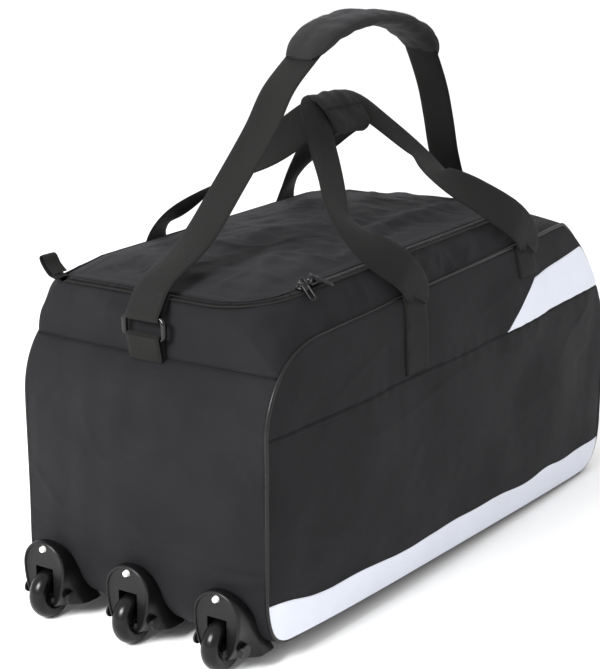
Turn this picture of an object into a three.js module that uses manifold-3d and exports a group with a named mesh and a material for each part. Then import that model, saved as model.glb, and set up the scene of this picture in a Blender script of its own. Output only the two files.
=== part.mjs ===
// Wheeled equipment bag: a soft duffel on three inline wheels at one end.
// Millimetres. +X runs along the length away from the wheels, -Y is the near long side, +Z is up,
// the floor is z = 0 and the origin is the middle of the footprint.
import * as THREE from "three";
import { mergeVertices } from "three/addons/utils/BufferGeometryUtils.js";
import Module from "manifold-3d";

const wasm = await Module();
wasm.setup();

// ---- overall sizes ----
const sideLength = 902; // piping to piping, along the near side
const sideShift = 20; // middle of the side panel, ahead of the origin
const halfWidth = 185; // centre plane to the side piping
const topHeight = 390; // front end of the top piping above the floor
const topRise = 25; // how much higher its rear end is
const openingHeight = 449; // zip at the rear end of its straight run
const openingSlope = 9; // how much lower it is at the wheel end of that run
const archHeight = 742; // top of the shoulder pad

// ---- fits ----
const gap = 0.4; // between neighbouring pieces
const skin = 3; // fabric and lining together
const pipingRadius = 3.5;
const pipingInset = pipingRadius + 2 * gap; // where a panel stops short of the piping's centre

// ---- side outline ----
const frontX = sideShift - sideLength / 2;
const rearX = sideShift + sideLength / 2;
const frontCorner = 105; // run of the big top corner at the wheel end
const frontStraight = 285; // height where that corner starts
const rearCorner = 158; // run of the top corner at the other end
const rearStraight = 208;
const bottomCorner = 42; // run of the lower corner at the wheel end
const bottomCornerTop = 85;
const rearBottomCorner = 70;
const frontClearance = 26; // bottom edge above the floor at the wheel end
const rearClearance = 5;
const sideBulge = 17;
const endBulge = 15;
const bottomSag = rearClearance; // the rear of the bottom just meets the floor

// ---- seams on the sides ----
const bandHeight = 44;
const seamHeight = 287; // pocket top at the wheel end
const seamSlope = 0.017;
const accentStart = 120; // tip of the pale panel
const accentShoulder = 207;
const accentDepth = 60;
const endSeam = 355; // height of the upper seam on the ends

// ---- opening, zip and lid ----
const openingFront = frontX + 38;
const openingRear = rearX - 231;
const openingHalf = halfWidth - 27;
const openingRadius = 84;
const hingeCorner = 12;
const frontDrop = 13;
const rearDrop = 9;
const zipHalf = 7;
const zipThickness = 3;
const lidDome = 18;
const rearCrown = 18;

// ---- webbing ----
const webbing = 50;
const webbingThickness = 2.4;
const nearHandleX = [-115, 188];
const farHandleX = [-150, 150];
const gripHeight = 602;
const gripLength = 84;
const gripDepth = 1.24 * webbing; // clear inside, across the straps
const gripThickness = 27;
const gripWall = 4;
const gripX = -4;

// ---- shoulder strap ----
const strapPlane = -20; // middle of the arch
const padWidth = 66;
const padThickness = 22;
const padX = 25;
const ringInside = webbing + 4;
const ringHeight = 26;
const ringBar = 6;
const ringZ = 378;

// ---- wheels ----
const wheelRadius = 33;
const wheelWidth = 23;
const wheelX = frontX - 24;
const wheelSpacing = halfWidth - 49;
const wheelY = [-wheelSpacing, 0, wheelSpacing];
const hubRadius = 5;
const runningGap = 0.5;
const housingWidth = 68;
const housingTop = 104;
const rivetDrop = 10; // below the top of the housing
const slotTop = 69;
const housingFront = 10; // ahead of the wheel's axle
const housingBack = 52;
const housingLow = 20;
const rivetRadius = 4.5;

// ---- zip sliders ----
const sliderLength = 16;
const sliderWidth = 12;
const sliderHeight = 6;
const tabLength = 30;
const tabWidth = 11;
const tabThickness = 2.2;
const tabFrame = 2.2; // width of the frame round a pull's window
const windowLength = 8;
const sliderSpace = 18; // between the two sliders where they meet

// ---- finishes ----
const fabric = { color: 0x29292b, roughness: 0.85, metalness: 0 };
const white = { color: 0xe2e4ee, roughness: 0.7, metalness: 0 };
const trim = { color: 0x3a3a3c, roughness: 0.45, metalness: 0 };
const strapping = { color: 0x1f1e1d, roughness: 0.9, metalness: 0 };
const padding = { color: 0x262526, roughness: 0.9, metalness: 0 };
const gloss = { color: 0x161617, roughness: 0.25, metalness: 0 };
const plastic = { color: 0x242426, roughness: 0.4, metalness: 0 };
const tyre = { color: 0x2a2a2b, roughness: 0.35, metalness: 0 };
const steel = { color: 0x9a9a9c, roughness: 0.35, metalness: 1 };
const pale = { color: 0xdeddda, roughness: 0.4, metalness: 0 };
const board = { color: 0x1c1c1e, roughness: 0.7, metalness: 0 };

const bag = new THREE.Group();
const up = new THREE.Vector3(0, 0, 1);
const along = new THREE.Vector3(1, 0, 0);
const across = new THREE.Vector3(0, 1, 0);
const V = (x, y, z) => new THREE.Vector3(x, y, z);
const mix = THREE.MathUtils.lerp;
const clamp = THREE.MathUtils.clamp;
const steps = (from, to, count) => Array.from({ length: count + 1 }, (_, i) => mix(from, to, i / count));

// ---------- closed solids ----------

function addMesh(name, geometry, finish) {
  const mesh = new THREE.Mesh(geometry, new THREE.MeshStandardMaterial(finish));
  mesh.name = name;
  bag.add(mesh);
  return mesh;
}

function signedVolume(points, triangles) {
  const cross = new THREE.Vector3();
  const sixTimes = ([a, b, c]) => points[a].dot(cross.crossVectors(points[b], points[c]));
  return triangles.reduce((sum, triangle) => sum + sixTimes(triangle), 0);
}

// A closed geometry from points and triangles, turned to face out.
function closedGeometry(points, triangles) {
  const facesIn = signedVolume(points, triangles) < 0;
  const index = triangles.flatMap(([a, b, c]) => (facesIn ? [a, c, b] : [a, b, c]));
  return new THREE.BufferGeometry().setFromPoints(points).setIndex(index);
}

// The faces of a strip of equal rings of points, closed round each ring and capped unless the path is closed.
function sweepTriangles(rings, size, closedPath) {
  const triangles = [];
  const last = closedPath ? rings : rings - 1;
  for (let r = 0; r < last; r += 1) {
    const next = (r + 1) % rings;
    for (let k = 0; k < size; k += 1) {
      const side = (k + 1) % size;
      triangles.push([r * size + k, next * size + k, next * size + side]);
      triangles.push([r * size + k, next * size + side, r * size + side]);
    }
  }
  if (!closedPath) {
    const end = (rings - 1) * size;
    for (let k = 1; k < size - 1; k += 1) {
      triangles.push([0, k, k + 1]);
      triangles.push([end, end + k + 1, end + k]);
    }
  }
  return triangles;
}

// Sweeps a convex section [[a, b], ...] along frames {at, a, b}.
function sweep(name, frames, section, finish, closedPath = false) {
  const points = frames.flatMap(({ at, a, b }) =>
    section.map(([p, q]) => at.clone().addScaledVector(a, p).addScaledVector(b, q)),
  );
  const triangles = sweepTriangles(frames.length, section.length, closedPath);
  return addMesh(name, closedGeometry(points, triangles), finish);
}

const flatSection = (width, thickness) => [
  [-width / 2, -thickness / 2],
  [width / 2, -thickness / 2],
  [width / 2, thickness / 2],
  [-width / 2, thickness / 2],
];

const roundSection = (radius, sides) =>
  steps(0, 2 * Math.PI, sides)
    .slice(0, sides)
    .map((t) => [radius * Math.cos(t), radius * Math.sin(t)]);

// Frames along a path with the given width directions; b is square to both the path and the width.
function framesAlong(path, widthAt, closedPath = false) {
  const count = path.length;
  return path.map((at, i) => {
    const before = path[closedPath ? (i + count - 1) % count : Math.max(i - 1, 0)];
    const after = path[closedPath ? (i + 1) % count : Math.min(i + 1, count - 1)];
    const tangent = after.clone().sub(before).normalize();
    const a = widthAt(i, tangent).clone();
    a.addScaledVector(tangent, -a.dot(tangent)).normalize();
    return { at, a, b: tangent.clone().cross(a).normalize() };
  });
}

const smooth = (points, count) =>
  new THREE.CatmullRomCurve3(points, false, "centripetal").getSpacedPoints(count);

function ribbon(name, path, widthAt, width, thickness, finish) {
  return sweep(name, framesAlong(path, widthAt), flatSection(width, thickness), finish);
}

// Outward normals of a grid of surface points, away from the middle of the bag.
function gridNormals(grid) {
  const middle = V(sideShift, 0, topHeight / 2);
  return grid.map((row, i) =>
    row.map((point, j) => {
      const down = grid[Math.min(i + 1, grid.length - 1)][j].clone().sub(grid[Math.max(i - 1, 0)][j]);
      const right = row[Math.min(j + 1, row.length - 1)].clone().sub(row[Math.max(j - 1, 0)]);
      const normal = down.cross(right).normalize();
      return normal.dot(point.clone().sub(middle)) < 0 ? normal.negate() : normal;
    }),
  );
}

// A closed slab between a grid of outer points and the same grid moved in by the thickness.
function slabGeometry(grid, thickness = skin) {
  const normals = gridNormals(grid);
  const inner = grid.map((row, i) => row.map((p, j) => p.clone().addScaledVector(normals[i][j], -thickness)));
  const [rows, cols] = [grid.length, grid[0].length];
  const points = [...grid.flat(), ...inner.flat()];
  const outerAt = (i, j) => i * cols + j;
  const innerAt = (i, j) => rows * cols + outerAt(i, j);
  const triangles = [];
  const quad = (a, b, c, d) => triangles.push([a, b, c], [a, c, d]);
  for (let i = 0; i < rows - 1; i += 1) {
    for (let j = 0; j < cols - 1; j += 1) {
      quad(outerAt(i, j), outerAt(i + 1, j), outerAt(i + 1, j + 1), outerAt(i, j + 1));
      quad(innerAt(i, j), innerAt(i, j + 1), innerAt(i + 1, j + 1), innerAt(i + 1, j));
    }
    quad(outerAt(i, 0), innerAt(i, 0), innerAt(i + 1, 0), outerAt(i + 1, 0));
    quad(outerAt(i, cols - 1), outerAt(i + 1, cols - 1), innerAt(i + 1, cols - 1), innerAt(i, cols - 1));
  }
  for (let j = 0; j < cols - 1; j += 1) {
    quad(outerAt(0, j), outerAt(0, j + 1), innerAt(0, j + 1), innerAt(0, j));
    quad(outerAt(rows - 1, j), innerAt(rows - 1, j), innerAt(rows - 1, j + 1), outerAt(rows - 1, j + 1));
  }
  return closedGeometry(points, triangles);
}

const slab = (name, grid, finish, thickness) => addMesh(name, slabGeometry(grid, thickness), finish);

// ---------- booleans ----------

function toSolid(geometry) {
  const bare = new THREE.BufferGeometry();
  const flat = geometry.index ? geometry.toNonIndexed() : geometry;
  bare.setAttribute("position", flat.getAttribute("position"));
  const merged = mergeVertices(bare, 1e-3);
  return new wasm.Manifold(
    new wasm.Mesh({
      numProp: 3,
      vertProperties: merged.attributes.position.array,
      triVerts: new Uint32Array(merged.index.array),
    }),
  );
}

function fromSolid(solid) {
  const mesh = solid.getMesh();
  return new THREE.BufferGeometry()
    .setAttribute("position", new THREE.BufferAttribute(new Float32Array(mesh.vertProperties), 3))
    .setIndex(new THREE.BufferAttribute(new Uint32Array(mesh.triVerts), 1));
}

const cutAway = (geometry, tools) =>
  fromSolid(tools.reduce((solid, tool) => solid.subtract(toSolid(tool)), toSolid(geometry)));

const drum = (radius, length, sides = 28) => new THREE.CylinderGeometry(radius, radius, length, sides);

// ---------- the side outline ----------

function sideOutline() {
  const path = new THREE.Path();
  const top = topHeight + topRise;
  path.moveTo(frontX + bottomCorner, frontClearance);
  path.bezierCurveTo(frontX + 14, frontClearance + 2, frontX + 2, 50, frontX, bottomCornerTop);
  path.lineTo(frontX, frontStraight);
  path.bezierCurveTo(frontX, frontStraight + 62, frontX + 45, topHeight - 3, frontX + frontCorner, topHeight);
  path.lineTo(rearX - rearCorner, top);
  path.bezierCurveTo(rearX - rearCorner + 34, top - 13, rearX - 5, rearStraight + 80, rearX, rearStraight);
  path.lineTo(rearX - 5, rearBottomCorner);
  path.bezierCurveTo(rearX - 9, 25, rearX - 32, rearClearance, rearX - rearBottomCorner, rearClearance);
  path.closePath();
  return path.getSpacedPoints(140).slice(0, 140);
}

const outline = sideOutline();

// The outline moved in by a distance.
const insetOutline = outline.map((p, i) => {
  const before = outline[(i + outline.length - 1) % outline.length];
  const tangent = outline[(i + 1) % outline.length].clone().sub(before).normalize();
  return new THREE.Vector2(p.x + tangent.y * pipingInset, p.y - tangent.x * pipingInset);
});

// Where an outline crosses a line, as the values of its other coordinate.
function crossings(key, value, other, line = outline) {
  const found = [];
  line.forEach((p, i) => {
    const q = line[(i + 1) % line.length];
    if ((p[key] - value) * (q[key] - value) <= 0 && p[key] !== q[key]) {
      found.push(mix(p[other], q[other], (value - p[key]) / (q[key] - p[key])));
    }
  });
  return found;
}

const topAt = (x) => Math.max(...crossings("x", x, "y"));
const bottomAt = (x) => Math.min(...crossings("x", x, "y"));
const underTop = (x) => Math.max(...crossings("x", x, "y", insetOutline));
const overBottom = (x) => Math.min(...crossings("x", x, "y", insetOutline));
const frontAt = (z) => Math.min(...crossings("y", z, "x"));

// ---------- side panels ----------

const seamAt = (x) => seamHeight + seamSlope * (x - frontX);
const bandTop = (x) => bottomAt(clamp(x, frontX + bottomCorner, rearX - rearBottomCorner)) + bandHeight;

function accentTop(x) {
  const rise = clamp((x - accentStart) / (accentShoulder - accentStart), 0, 1);
  return seamAt(x) + accentDepth * rise + 0.09 * Math.max(x - accentShoulder, 0);
}

// The fullness of a side panel at a place on it, from 0 at the outline to 1 in the middle.
function fullness(x, z) {
  const lengthwise = Math.abs(x - sideShift) / (sideLength / 2);
  const upright = Math.abs(z - topHeight / 2) / (topHeight / 2 + topRise);
  return Math.max(0, (1 - lengthwise ** 4) * (1 - upright ** 3));
}

const sideAt = (x, z, lift = 0) => V(x, -(halfWidth + sideBulge * fullness(x, z) + lift), z);

const mirrored = (grid) => grid.map((row) => row.map((p) => V(p.x, -p.y, p.z)));

// Columns of points between two heights, for one panel of a side.
const columns = (xs, low, high, rows) => xs.map((x) => steps(low(x), high(x), rows).map((z) => sideAt(x, z)));

// Places along X, closer together towards both ends, where the outline turns.
const spread = (from, to, count) => steps(0, Math.PI, count).map((t) => mix(from, to, (1 - Math.cos(t)) / 2));

const bandXs = spread(frontX + pipingInset + 7, rearX - pipingInset - 14, 18);
const sideXs = spread(frontX + pipingInset + 0.2, rearX - pipingInset - 2, 18);
const upperXs = [
  ...spread(frontX + pipingInset + 1, accentStart, 12),
  ...steps(accentStart, accentShoulder, 2).slice(1),
  ...steps(accentShoulder, rearX - rearCorner + 28, 3).slice(1),
];
const accentXs = [
  ...steps(accentStart + 8, accentShoulder, 2),
  ...steps(accentShoulder, rearX - rearCorner / 2 + 25, 6).slice(1),
];

const sidePanels = {
  band: [columns(bandXs, overBottom, bandTop, 2), white],
  lower: [
    columns(
      sideXs,
      (x) => Math.max(bandTop(x), overBottom(x)) + gap,
      (x) => Math.min(seamAt(x), underTop(x)) - gap,
      4,
    ),
    fabric,
  ],
  upper: [columns(upperXs, (x) => Math.max(seamAt(x), accentTop(x)) + 2 * gap, underTop, 3), fabric],
  accent: [columns(accentXs, (x) => seamAt(x) + gap, (x) => Math.min(accentTop(x), underTop(x)), 2), white],
};

for (const [part, [grid, finish]] of Object.entries(sidePanels)) {
  slab(`side_${part}_near`, grid, finish);
  slab(`side_${part}_far`, mirrored(grid), finish);
}

for (const [side, y] of [["near", -halfWidth], ["far", halfWidth]]) {
  const path = outline.filter((_, i) => i % 2 === 0).map((p) => V(p.x, y, p.y));
  const frames = framesAlong(path, () => across, true);
  sweep(`piping_${side}`, frames, roundSection(pipingRadius, 6), trim, true);
}

// ---------- the opening ----------

const frontJoin = openingFront + openingRadius; // ends of the straight run along the near side
const rearJoin = openingRear - openingRadius;

function openingZ(x) {
  const run = clamp((x - frontJoin) / (rearJoin - frontJoin), 0, 1);
  const pastFront = Math.max(frontJoin - x, 0) / openingRadius;
  const pastRear = Math.max(x - rearJoin, 0) / openingRadius;
  return openingHeight - openingSlope * (1 - run) - frontDrop * pastFront - rearDrop * pastRear ** 1.5;
}

// Limits in X of the opening at a given y, moved outwards by an offset.
function openingEnds(y, offset) {
  const radius = (y < 0 ? openingRadius : hingeCorner) + offset;
  const past = clamp(Math.abs(y) - (openingHalf + offset - radius), 0, radius);
  const tuck = radius - Math.sqrt(radius ** 2 - past ** 2);
  return [openingFront - offset + tuck, openingRear + offset - tuck];
}

const hingeGap = skin + gap; // the body's edge stands this far behind the lid's hinge

// Half of the loop round the opening (wheel end or other end), from the near side to the far side.
function openingArc(end, offset, corner, straight) {
  const edge = end < 0 ? openingFront - offset : openingRear + offset;
  const turn = (radius, y, angles) =>
    angles.map((t) => [
      edge - end * radius * (1 - Math.sin(t)),
      y + Math.sign(y) * radius * (Math.cos(t) - 1),
    ]);
  const near = turn(openingRadius + offset, -(openingHalf + offset), steps(0, Math.PI / 2, corner));
  const farY = openingHalf + (offset ? hingeGap : 0);
  const arc = turn(hingeCorner + offset, farY, steps(Math.PI / 2, 0, 2));
  const back = steps(arc.at(-1)[0], end < 0 ? frontJoin : rearJoin, corner - 2).slice(1);
  const far = [...arc, ...back.map((x) => [x, farY])];
  const middle = steps(near.at(-1)[1], far[0][1], straight).slice(1, -1);
  return [...near, ...middle.map((y) => [edge, y]), ...far].map(([x, y]) => V(x, y, openingZ(x)));
}

// ---------- ends and shoulder of the bag ----------

const bow = (y, power = 2) => 1 - Math.abs(y / halfWidth) ** power;
const seamBulge = 5; // of the wheel end where its upper seam runs
const endAt = (y, z) => V(frontAt(z) - seamBulge * bow(y), y, z);

const panelYs = steps(-halfWidth + pipingInset, halfWidth - pipingInset, 10);

// A grid between two curves with equal numbers of points, bowed outwards between them.
// A column that stands on the piping starts just clear of it.
function between(lower, upper, rows, bulge) {
  return steps(0, 1, rows).map((share) =>
    lower.map((p, i) => {
      const q = upper[i];
      const onPiping = Math.abs(p.y) > halfWidth - gap;
      const start = (onPiping ? pipingInset + 4 * gap : skin) / p.distanceTo(q);
      const v = mix(start, 1, share);
      const at = p.clone().lerp(q, v);
      const out = V(p.x - q.x, p.y - q.y, 0).normalize().add(up).normalize();
      return at.addScaledVector(out, bulge * 4 * v * (1 - v));
    }),
  );
}

// The seam line under the shoulder at one end: up the near piping, across the end, back down the far piping.
function shoulderFoot(end, corner, straight) {
  const joinX = end < 0 ? frontJoin : rearJoin;
  const edgeX = end < 0 ? frontAt(endSeam) : rearX - rearCorner;
  const alongPiping = steps(joinX, edgeX, corner);
  const heightAt = (x) => (end < 0 && x === edgeX ? endSeam : topAt(x));
  const acrossEnd = (y) => (end < 0 ? endAt(y, endSeam) : V(edgeX, y, topAt(edgeX) + rearCrown * bow(y)));
  const near = alongPiping.map((x) => V(x, -halfWidth, heightAt(x)));
  const far = [...alongPiping].reverse().map((x) => V(x, halfWidth, heightAt(x)));
  const middle = steps(-halfWidth, halfWidth, straight).slice(1, -1).map(acrossEnd);
  return [...near, ...middle, ...far];
}

const cornerSteps = 5;
const straightSteps = 6;
const openingEdge = zipHalf + gap;
const shoulderBulge = 2;

for (const [name, end] of [["shoulder_front", -1], ["shoulder_rear", 1]]) {
  const foot = shoulderFoot(end, cornerSteps, straightSteps);
  const head = openingArc(end, openingEdge, cornerSteps, straightSteps);
  slab(name, between(foot, head, 4, shoulderBulge), fabric);
}

function shoulderSide(name, sign, xs) {
  const foot = xs.map((x) => V(x, sign * halfWidth, topAt(x)));
  const edge = sign < 0 ? openingEdge : hingeGap;
  const head = xs.map((x) => V(x, sign * (openingHalf + edge), openingZ(x)));
  slab(name, between(foot, head, 3, shoulderBulge), fabric);
}

const shoulderXs = steps(frontJoin + 2 * gap, rearJoin - 2 * gap, 10);
shoulderSide("shoulder_near", -1, shoulderXs);
shoulderSide("shoulder_far", 1, shoulderXs);

// ---------- wheels in their housings ----------

function housingProfile() {
  const shape = new THREE.Shape();
  const front = -housingFront;
  shape.moveTo(front, housingLow);
  shape.lineTo(front - 2, housingTop - 32);
  shape.bezierCurveTo(front, housingTop - 8, front + 14, housingTop, front + 26, housingTop);
  shape.lineTo(housingBack - 14, housingTop - 22);
  shape.lineTo(housingBack, housingLow + 22);
  shape.lineTo(housingBack, housingLow);
  shape.closePath();
  return shape;
}

// The housing's outside as a solid, grown by a clearance, standing at its wheel.
function housingBlock(y, clearance = 0) {
  const depth = housingWidth + 2 * clearance;
  const block = new THREE.ExtrudeGeometry(housingProfile(), { depth, bevelEnabled: false, curveSegments: 5 });
  block.rotateX(Math.PI / 2);
  block.translate(0, depth / 2, 0);
  const middle = V((housingBack - housingFront) / 2, 0, (housingTop + housingLow) / 2);
  const grow = (size) => (size + 2 * clearance) / size;
  block.translate(-middle.x, 0, -middle.z);
  block.scale(grow(housingBack + housingFront), 1, grow(housingTop - housingLow));
  block.translate(wheelX + middle.x, y, middle.z);
  return block;
}

// A bar along X with a round top, which gives the housing its disc-like face.
function housingFace(y) {
  const radius = housingWidth / 2;
  const disc = drum(radius, 200, 32).rotateZ(Math.PI / 2).translate(wheelX, y, housingTop - radius);
  const foot = new THREE.BoxGeometry(200, housingWidth - 8, housingTop - radius);
  return toSolid(disc).add(toSolid(foot.translate(wheelX, y, (housingTop - radius) / 2)));
}

const boreRadius = hubRadius + runningGap;
const cheekHole = (y) => drum(hubRadius + gap, housingWidth + 10).translate(wheelX, y, wheelRadius);

function housing(name, y) {
  const slot = wheelWidth + 5;
  const room = drum(wheelRadius + 4, slot, 24).translate(wheelX, y, wheelRadius);
  const mouth = new THREE.BoxGeometry(80, slot, slotTop).translate(wheelX - 36, y, slotTop / 2);
  const rivetSeat = drum(rivetRadius + gap, 8, 16).rotateZ(Math.PI / 2);
  rivetSeat.translate(wheelX - housingFront, y, housingTop - rivetDrop);
  const body = fromSolid(toSolid(housingBlock(y)).intersect(housingFace(y)));
  addMesh(name, cutAway(body, [room, mouth, cheekHole(y), rivetSeat]), plastic);
}

function turned(name, profile, y, finish, sides = 28) {
  const geometry = new THREE.LatheGeometry(profile.map(([r, h]) => new THREE.Vector2(r, h)), sides);
  const solid = fromSolid(toSolid(geometry.translate(wheelX, y, wheelRadius)));
  return addMesh(name, solid, finish);
}

function wheelProfile() {
  const half = wheelWidth / 2;
  const tread = [
    [wheelRadius - 5, -half],
    [wheelRadius - 1, -half + 4],
    [wheelRadius, 0],
    [wheelRadius - 1, half - 4],
    [wheelRadius - 5, half],
  ];
  const hub = [
    [boreRadius + 8, half],
    [boreRadius, half],
    [boreRadius, -half],
    [boreRadius + 8, -half],
  ];
  return [...tread, ...hub, tread[0]];
}

function axleProfile() {
  const half = housingWidth / 2 + gap;
  const head = 2.5;
  return [
    [0, -half - head],
    [hubRadius + 3, -half - head],
    [hubRadius + 3, -half],
    [hubRadius, -half],
    [hubRadius, half],
    [hubRadius + 3, half],
    [hubRadius + 3, half + head],
    [0, half + head],
  ];
}

function rivet(name, y) {
  const head = new THREE.CylinderGeometry(rivetRadius - 1, rivetRadius, 5, 16).rotateZ(Math.PI / 2);
  addMesh(name, head.translate(wheelX - housingFront - 1, y, housingTop - rivetDrop), pale);
}

wheelY.forEach((y, i) => {
  housing(`housing_${i + 1}`, y);
  turned(`wheel_${i + 1}`, wheelProfile(), y, tyre);
  turned(`axle_${i + 1}`, axleProfile(), y, steel, 16);
  rivet(`rivet_${i + 1}`, y);
});

// ---------- end panels, bottom and board ----------

const housingCuts = () => wheelY.map((y) => housingBlock(y, gap + 0.3));

// An end panel over part of the outline, swelling outwards by an amount that varies along it.
function endPanel(line, swellAt) {
  return line.map((p, i) => {
    const before = line[Math.max(i - 1, 0)];
    const after = line[Math.min(i + 1, line.length - 1)];
    const normal = V(before.y - after.y, 0, after.x - before.x).normalize();
    const swell = swellAt(i / (line.length - 1));
    return panelYs.map((y) => V(p.x, y, p.y).addScaledVector(normal, swell * bow(y)));
  });
}

// Evenly picked points of the outline, between two of its indices.
const outlinePart = (start, end, count) => steps(start, end, count).map((i) => outline[Math.round(i)]);

function frontPanel() {
  const end = outline.findIndex((p) => p.y > endSeam);
  const line = [...outlinePart(0, end - 1, 12), new THREE.Vector2(frontAt(endSeam - gap), endSeam - gap)];
  const grid = endPanel(line, (t) => endBulge * Math.sin(Math.PI * clamp(t, 0, 1)) + seamBulge * t);
  addMesh("end_front", cutAway(slabGeometry(grid), housingCuts()), fabric);
}

const rearStart = outline.findIndex((p) => p.x > rearX - rearCorner + 1);
const rearEnd = outline.findIndex((p, i) => i > rearStart && p.y < rearClearance + 1);
const rearOutline = (count) => outlinePart(rearStart, rearEnd, count);

function rearPanel() {
  slab("end_rear", endPanel(rearOutline(12), (t) => rearCrown * (1 - t ** 0.8)), fabric);
}

const bottomXs = steps(frontX + bottomCorner + 2, rearX - rearBottomCorner - 6, 14);

function bottomPanel() {
  const sagAt = (x, y) => bottomSag * bow(y, 4) * clamp((x - frontX) / 200, 0, 1);
  const grid = bottomXs.map((x) => panelYs.map((y) => V(x, y, bottomAt(x) - sagAt(x, y))));
  addMesh("bottom", cutAway(slabGeometry(grid), housingCuts()), fabric);
}

function baseBoard() {
  const xs = [wheelX + housingBack + 12, rearX - rearBottomCorner - 20];
  const frames = xs.map((x) => ({ at: V(x, 0, bottomAt(x) + 8), a: across, b: up }));
  sweep("base_board", frames, flatSection(2 * (halfWidth - 14), 4), board);
}

frontPanel();
rearPanel();
bottomPanel();
baseBoard();

// ---------- zip and lid ----------

// The zip's centre line: across the wheel end, along the near side and across the other end.
function zipLine() {
  const front = openingArc(-1, 0, 8, 6).reverse().slice(8);
  const rear = openingArc(1, 0, 8, 6).slice(0, -8);
  const straight = steps(front.at(-1).x, rear[0].x, 12).slice(1, -1);
  return [...front, ...straight.map((x) => V(x, -openingHalf, openingZ(x))), ...rear];
}

for (const [name, side] of [["zip_body", 1], ["zip_lid", -1]]) {
  const inner = gap / 2;
  const section = [
    [side * inner, 2 * gap],
    [side * (zipHalf - gap), 2 * gap],
    [side * (zipHalf - gap), zipThickness],
    [side * inner, zipThickness],
  ];
  const frames = zipLine().map((at, i, line) => {
    const tangent = line[Math.min(i + 1, line.length - 1)].clone().sub(line[Math.max(i - 1, 0)]);
    return { at, a: V(tangent.y, -tangent.x, 0).normalize(), b: up };
  });
  sweep(name, frames, section, trim);
}

function lid() {
  const edge = -(zipHalf + gap);
  const farEdge = openingHalf - gap;
  const near = steps(-openingHalf - edge, -openingHalf + openingRadius, 5);
  const ys = [...near, ...steps(near.at(-1), farEdge, 7).slice(1)];
  const middle = (openingFront + openingRear) / 2;
  const half = (openingRear - openingFront) / 2;
  const grid = ys.map((y) => {
    const [from, to] = openingEnds(Math.min(y, openingHalf + edge), edge);
    return steps(from, to, 14).map((x) => {
      const rise = (1 - (y / openingHalf) ** 2) * (1 - Math.abs((x - middle) / half) ** 3);
      return V(x, y, openingZ(x) + lidDome * rise);
    });
  });
  slab("lid", grid, fabric);
}

lid();

// ---------- webbing sewn to the sides ----------

const webLift = webbingThickness / 2 + gap;
const handleFootZ = (x) => topAt(x) - 8;

for (const [side, sign, xs] of [["near", 1, nearHandleX], ["far", -1, farHandleX]]) {
  xs.forEach((x, i) => {
    const end = i === 0 ? "front" : "rear";
    const from = i === 0 ? seamAt(x) + 6 : topAt(x) - 46;
    const path = steps(from, topAt(x) + 3, 4).map((z) => {
      const p = sideAt(x, z, webLift + gap);
      p.y = Math.min(p.y, -(halfWidth + pipingRadius + webLift));
      return V(p.x, sign * p.y, p.z);
    });
    ribbon(`webbing_${side}_${end}`, path, () => along, webbing, webbingThickness, strapping);
  });
}

// ---------- carry handles ----------

// The legs hang slack, so each is a list of places from its foot on the top edge to the end of the grip.
const handleLegs = {
  near: [
    [[0, -1, 3], [0, -1.4, 14], [-34, 2, 48], [-70, 32, 82], [-66, 74, 114], [-30, 112, 144]],
    [[0, -1, 3], [0, -1.4, 14], [-44, 0, 50], [-100, 28, 88], [-136, 68, 118], [-118, 112, 142]],
  ],
  far: [
    [[0, -1, 3], [0, -1.4, 14], [-16, 6, 44], [-26, 34, 76], [-6, 78, 112], [36, 130, 152]],
    [[0, -1, 3], [0, -1.4, 14], [-8, 6, 44], [-26, 34, 76], [-54, 76, 112], [-84, 128, 152]],
  ],
};
const handleBase = halfWidth + pipingRadius + webLift + webbingThickness + 4;
const strapOffset = 4; // of each strap from the middle of the grip
const gripLean = -Math.PI / 4; // the grip's face looks up and to the near side
const gripFace = V(0, Math.sin(gripLean), Math.cos(gripLean));
const gripWidthway = V(0, Math.cos(gripLean), -Math.sin(gripLean));
const gripMiddle = V(gripX, 0, gripHeight);

// Directions averaged with their neighbours along a path, a number of times.
function averaged(directions, times) {
  if (!times) return directions;
  const last = directions.length - 1;
  const once = directions.map((d, i) =>
    d.clone().multiplyScalar(2)
      .add(directions[Math.max(i - 1, 0)])
      .add(directions[Math.min(i + 1, last)])
      .normalize(),
  );
  return averaged(once, times - 1);
}

// One handle: up from the top edge, in over the lid, through the grip and back down.
function handle(side, sign, feet) {
  const leg = (i) =>
    handleLegs[side][i].map(([dx, inward, rise]) =>
      V(feet[i] + dx, -sign * (handleBase - inward), handleFootZ(feet[i]) + rise),
    );
  const reach = gripLength / 2 + 14;
  const crest = steps(-reach, reach, 3).map((x) =>
    gripMiddle.clone().addScaledVector(along, x).addScaledVector(gripFace, sign * strapOffset),
  );
  const path = smooth([...leg(0), ...crest, ...leg(1).reverse()], 60);
  const widths = framesAlong(path, (i, tangent) => {
    const raised = THREE.MathUtils.smoothstep(path[i].z, handleFootZ(feet[0]) + 60, gripHeight - 30);
    const lean = mix((-sign * Math.PI) / 2, gripLean, raised);
    return V(0, Math.sin(lean), Math.cos(lean)).cross(tangent);
  }).map(({ a }) => a);
  const eased = averaged(widths, 4);
  ribbon(`handle_${side}`, path, (i) => eased[i], webbing, webbingThickness, strapping);
}

handle("near", 1, nearHandleX);
handle("far", -1, farHandleX);

// The hook-and-loop grip, a sleeve round both straps.
function grip() {
  const path = roundSection(1, 20).map(([a, b]) =>
    gripMiddle.clone()
      .addScaledVector(gripWidthway, (Math.sign(a) * Math.abs(a) ** 0.5 * (gripDepth + gripWall)) / 2)
      .addScaledVector(gripFace, (Math.sign(b) * Math.abs(b) ** 0.7 * (gripThickness - gripWall)) / 2),
  );
  sweep("grip", framesAlong(path, () => along, true), flatSection(gripLength, gripWall), padding, true);
}

grip();

// ---------- rings and their loops ----------

const turnRadius = ringBar / 2 + gap + webbingThickness / 2;

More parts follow.
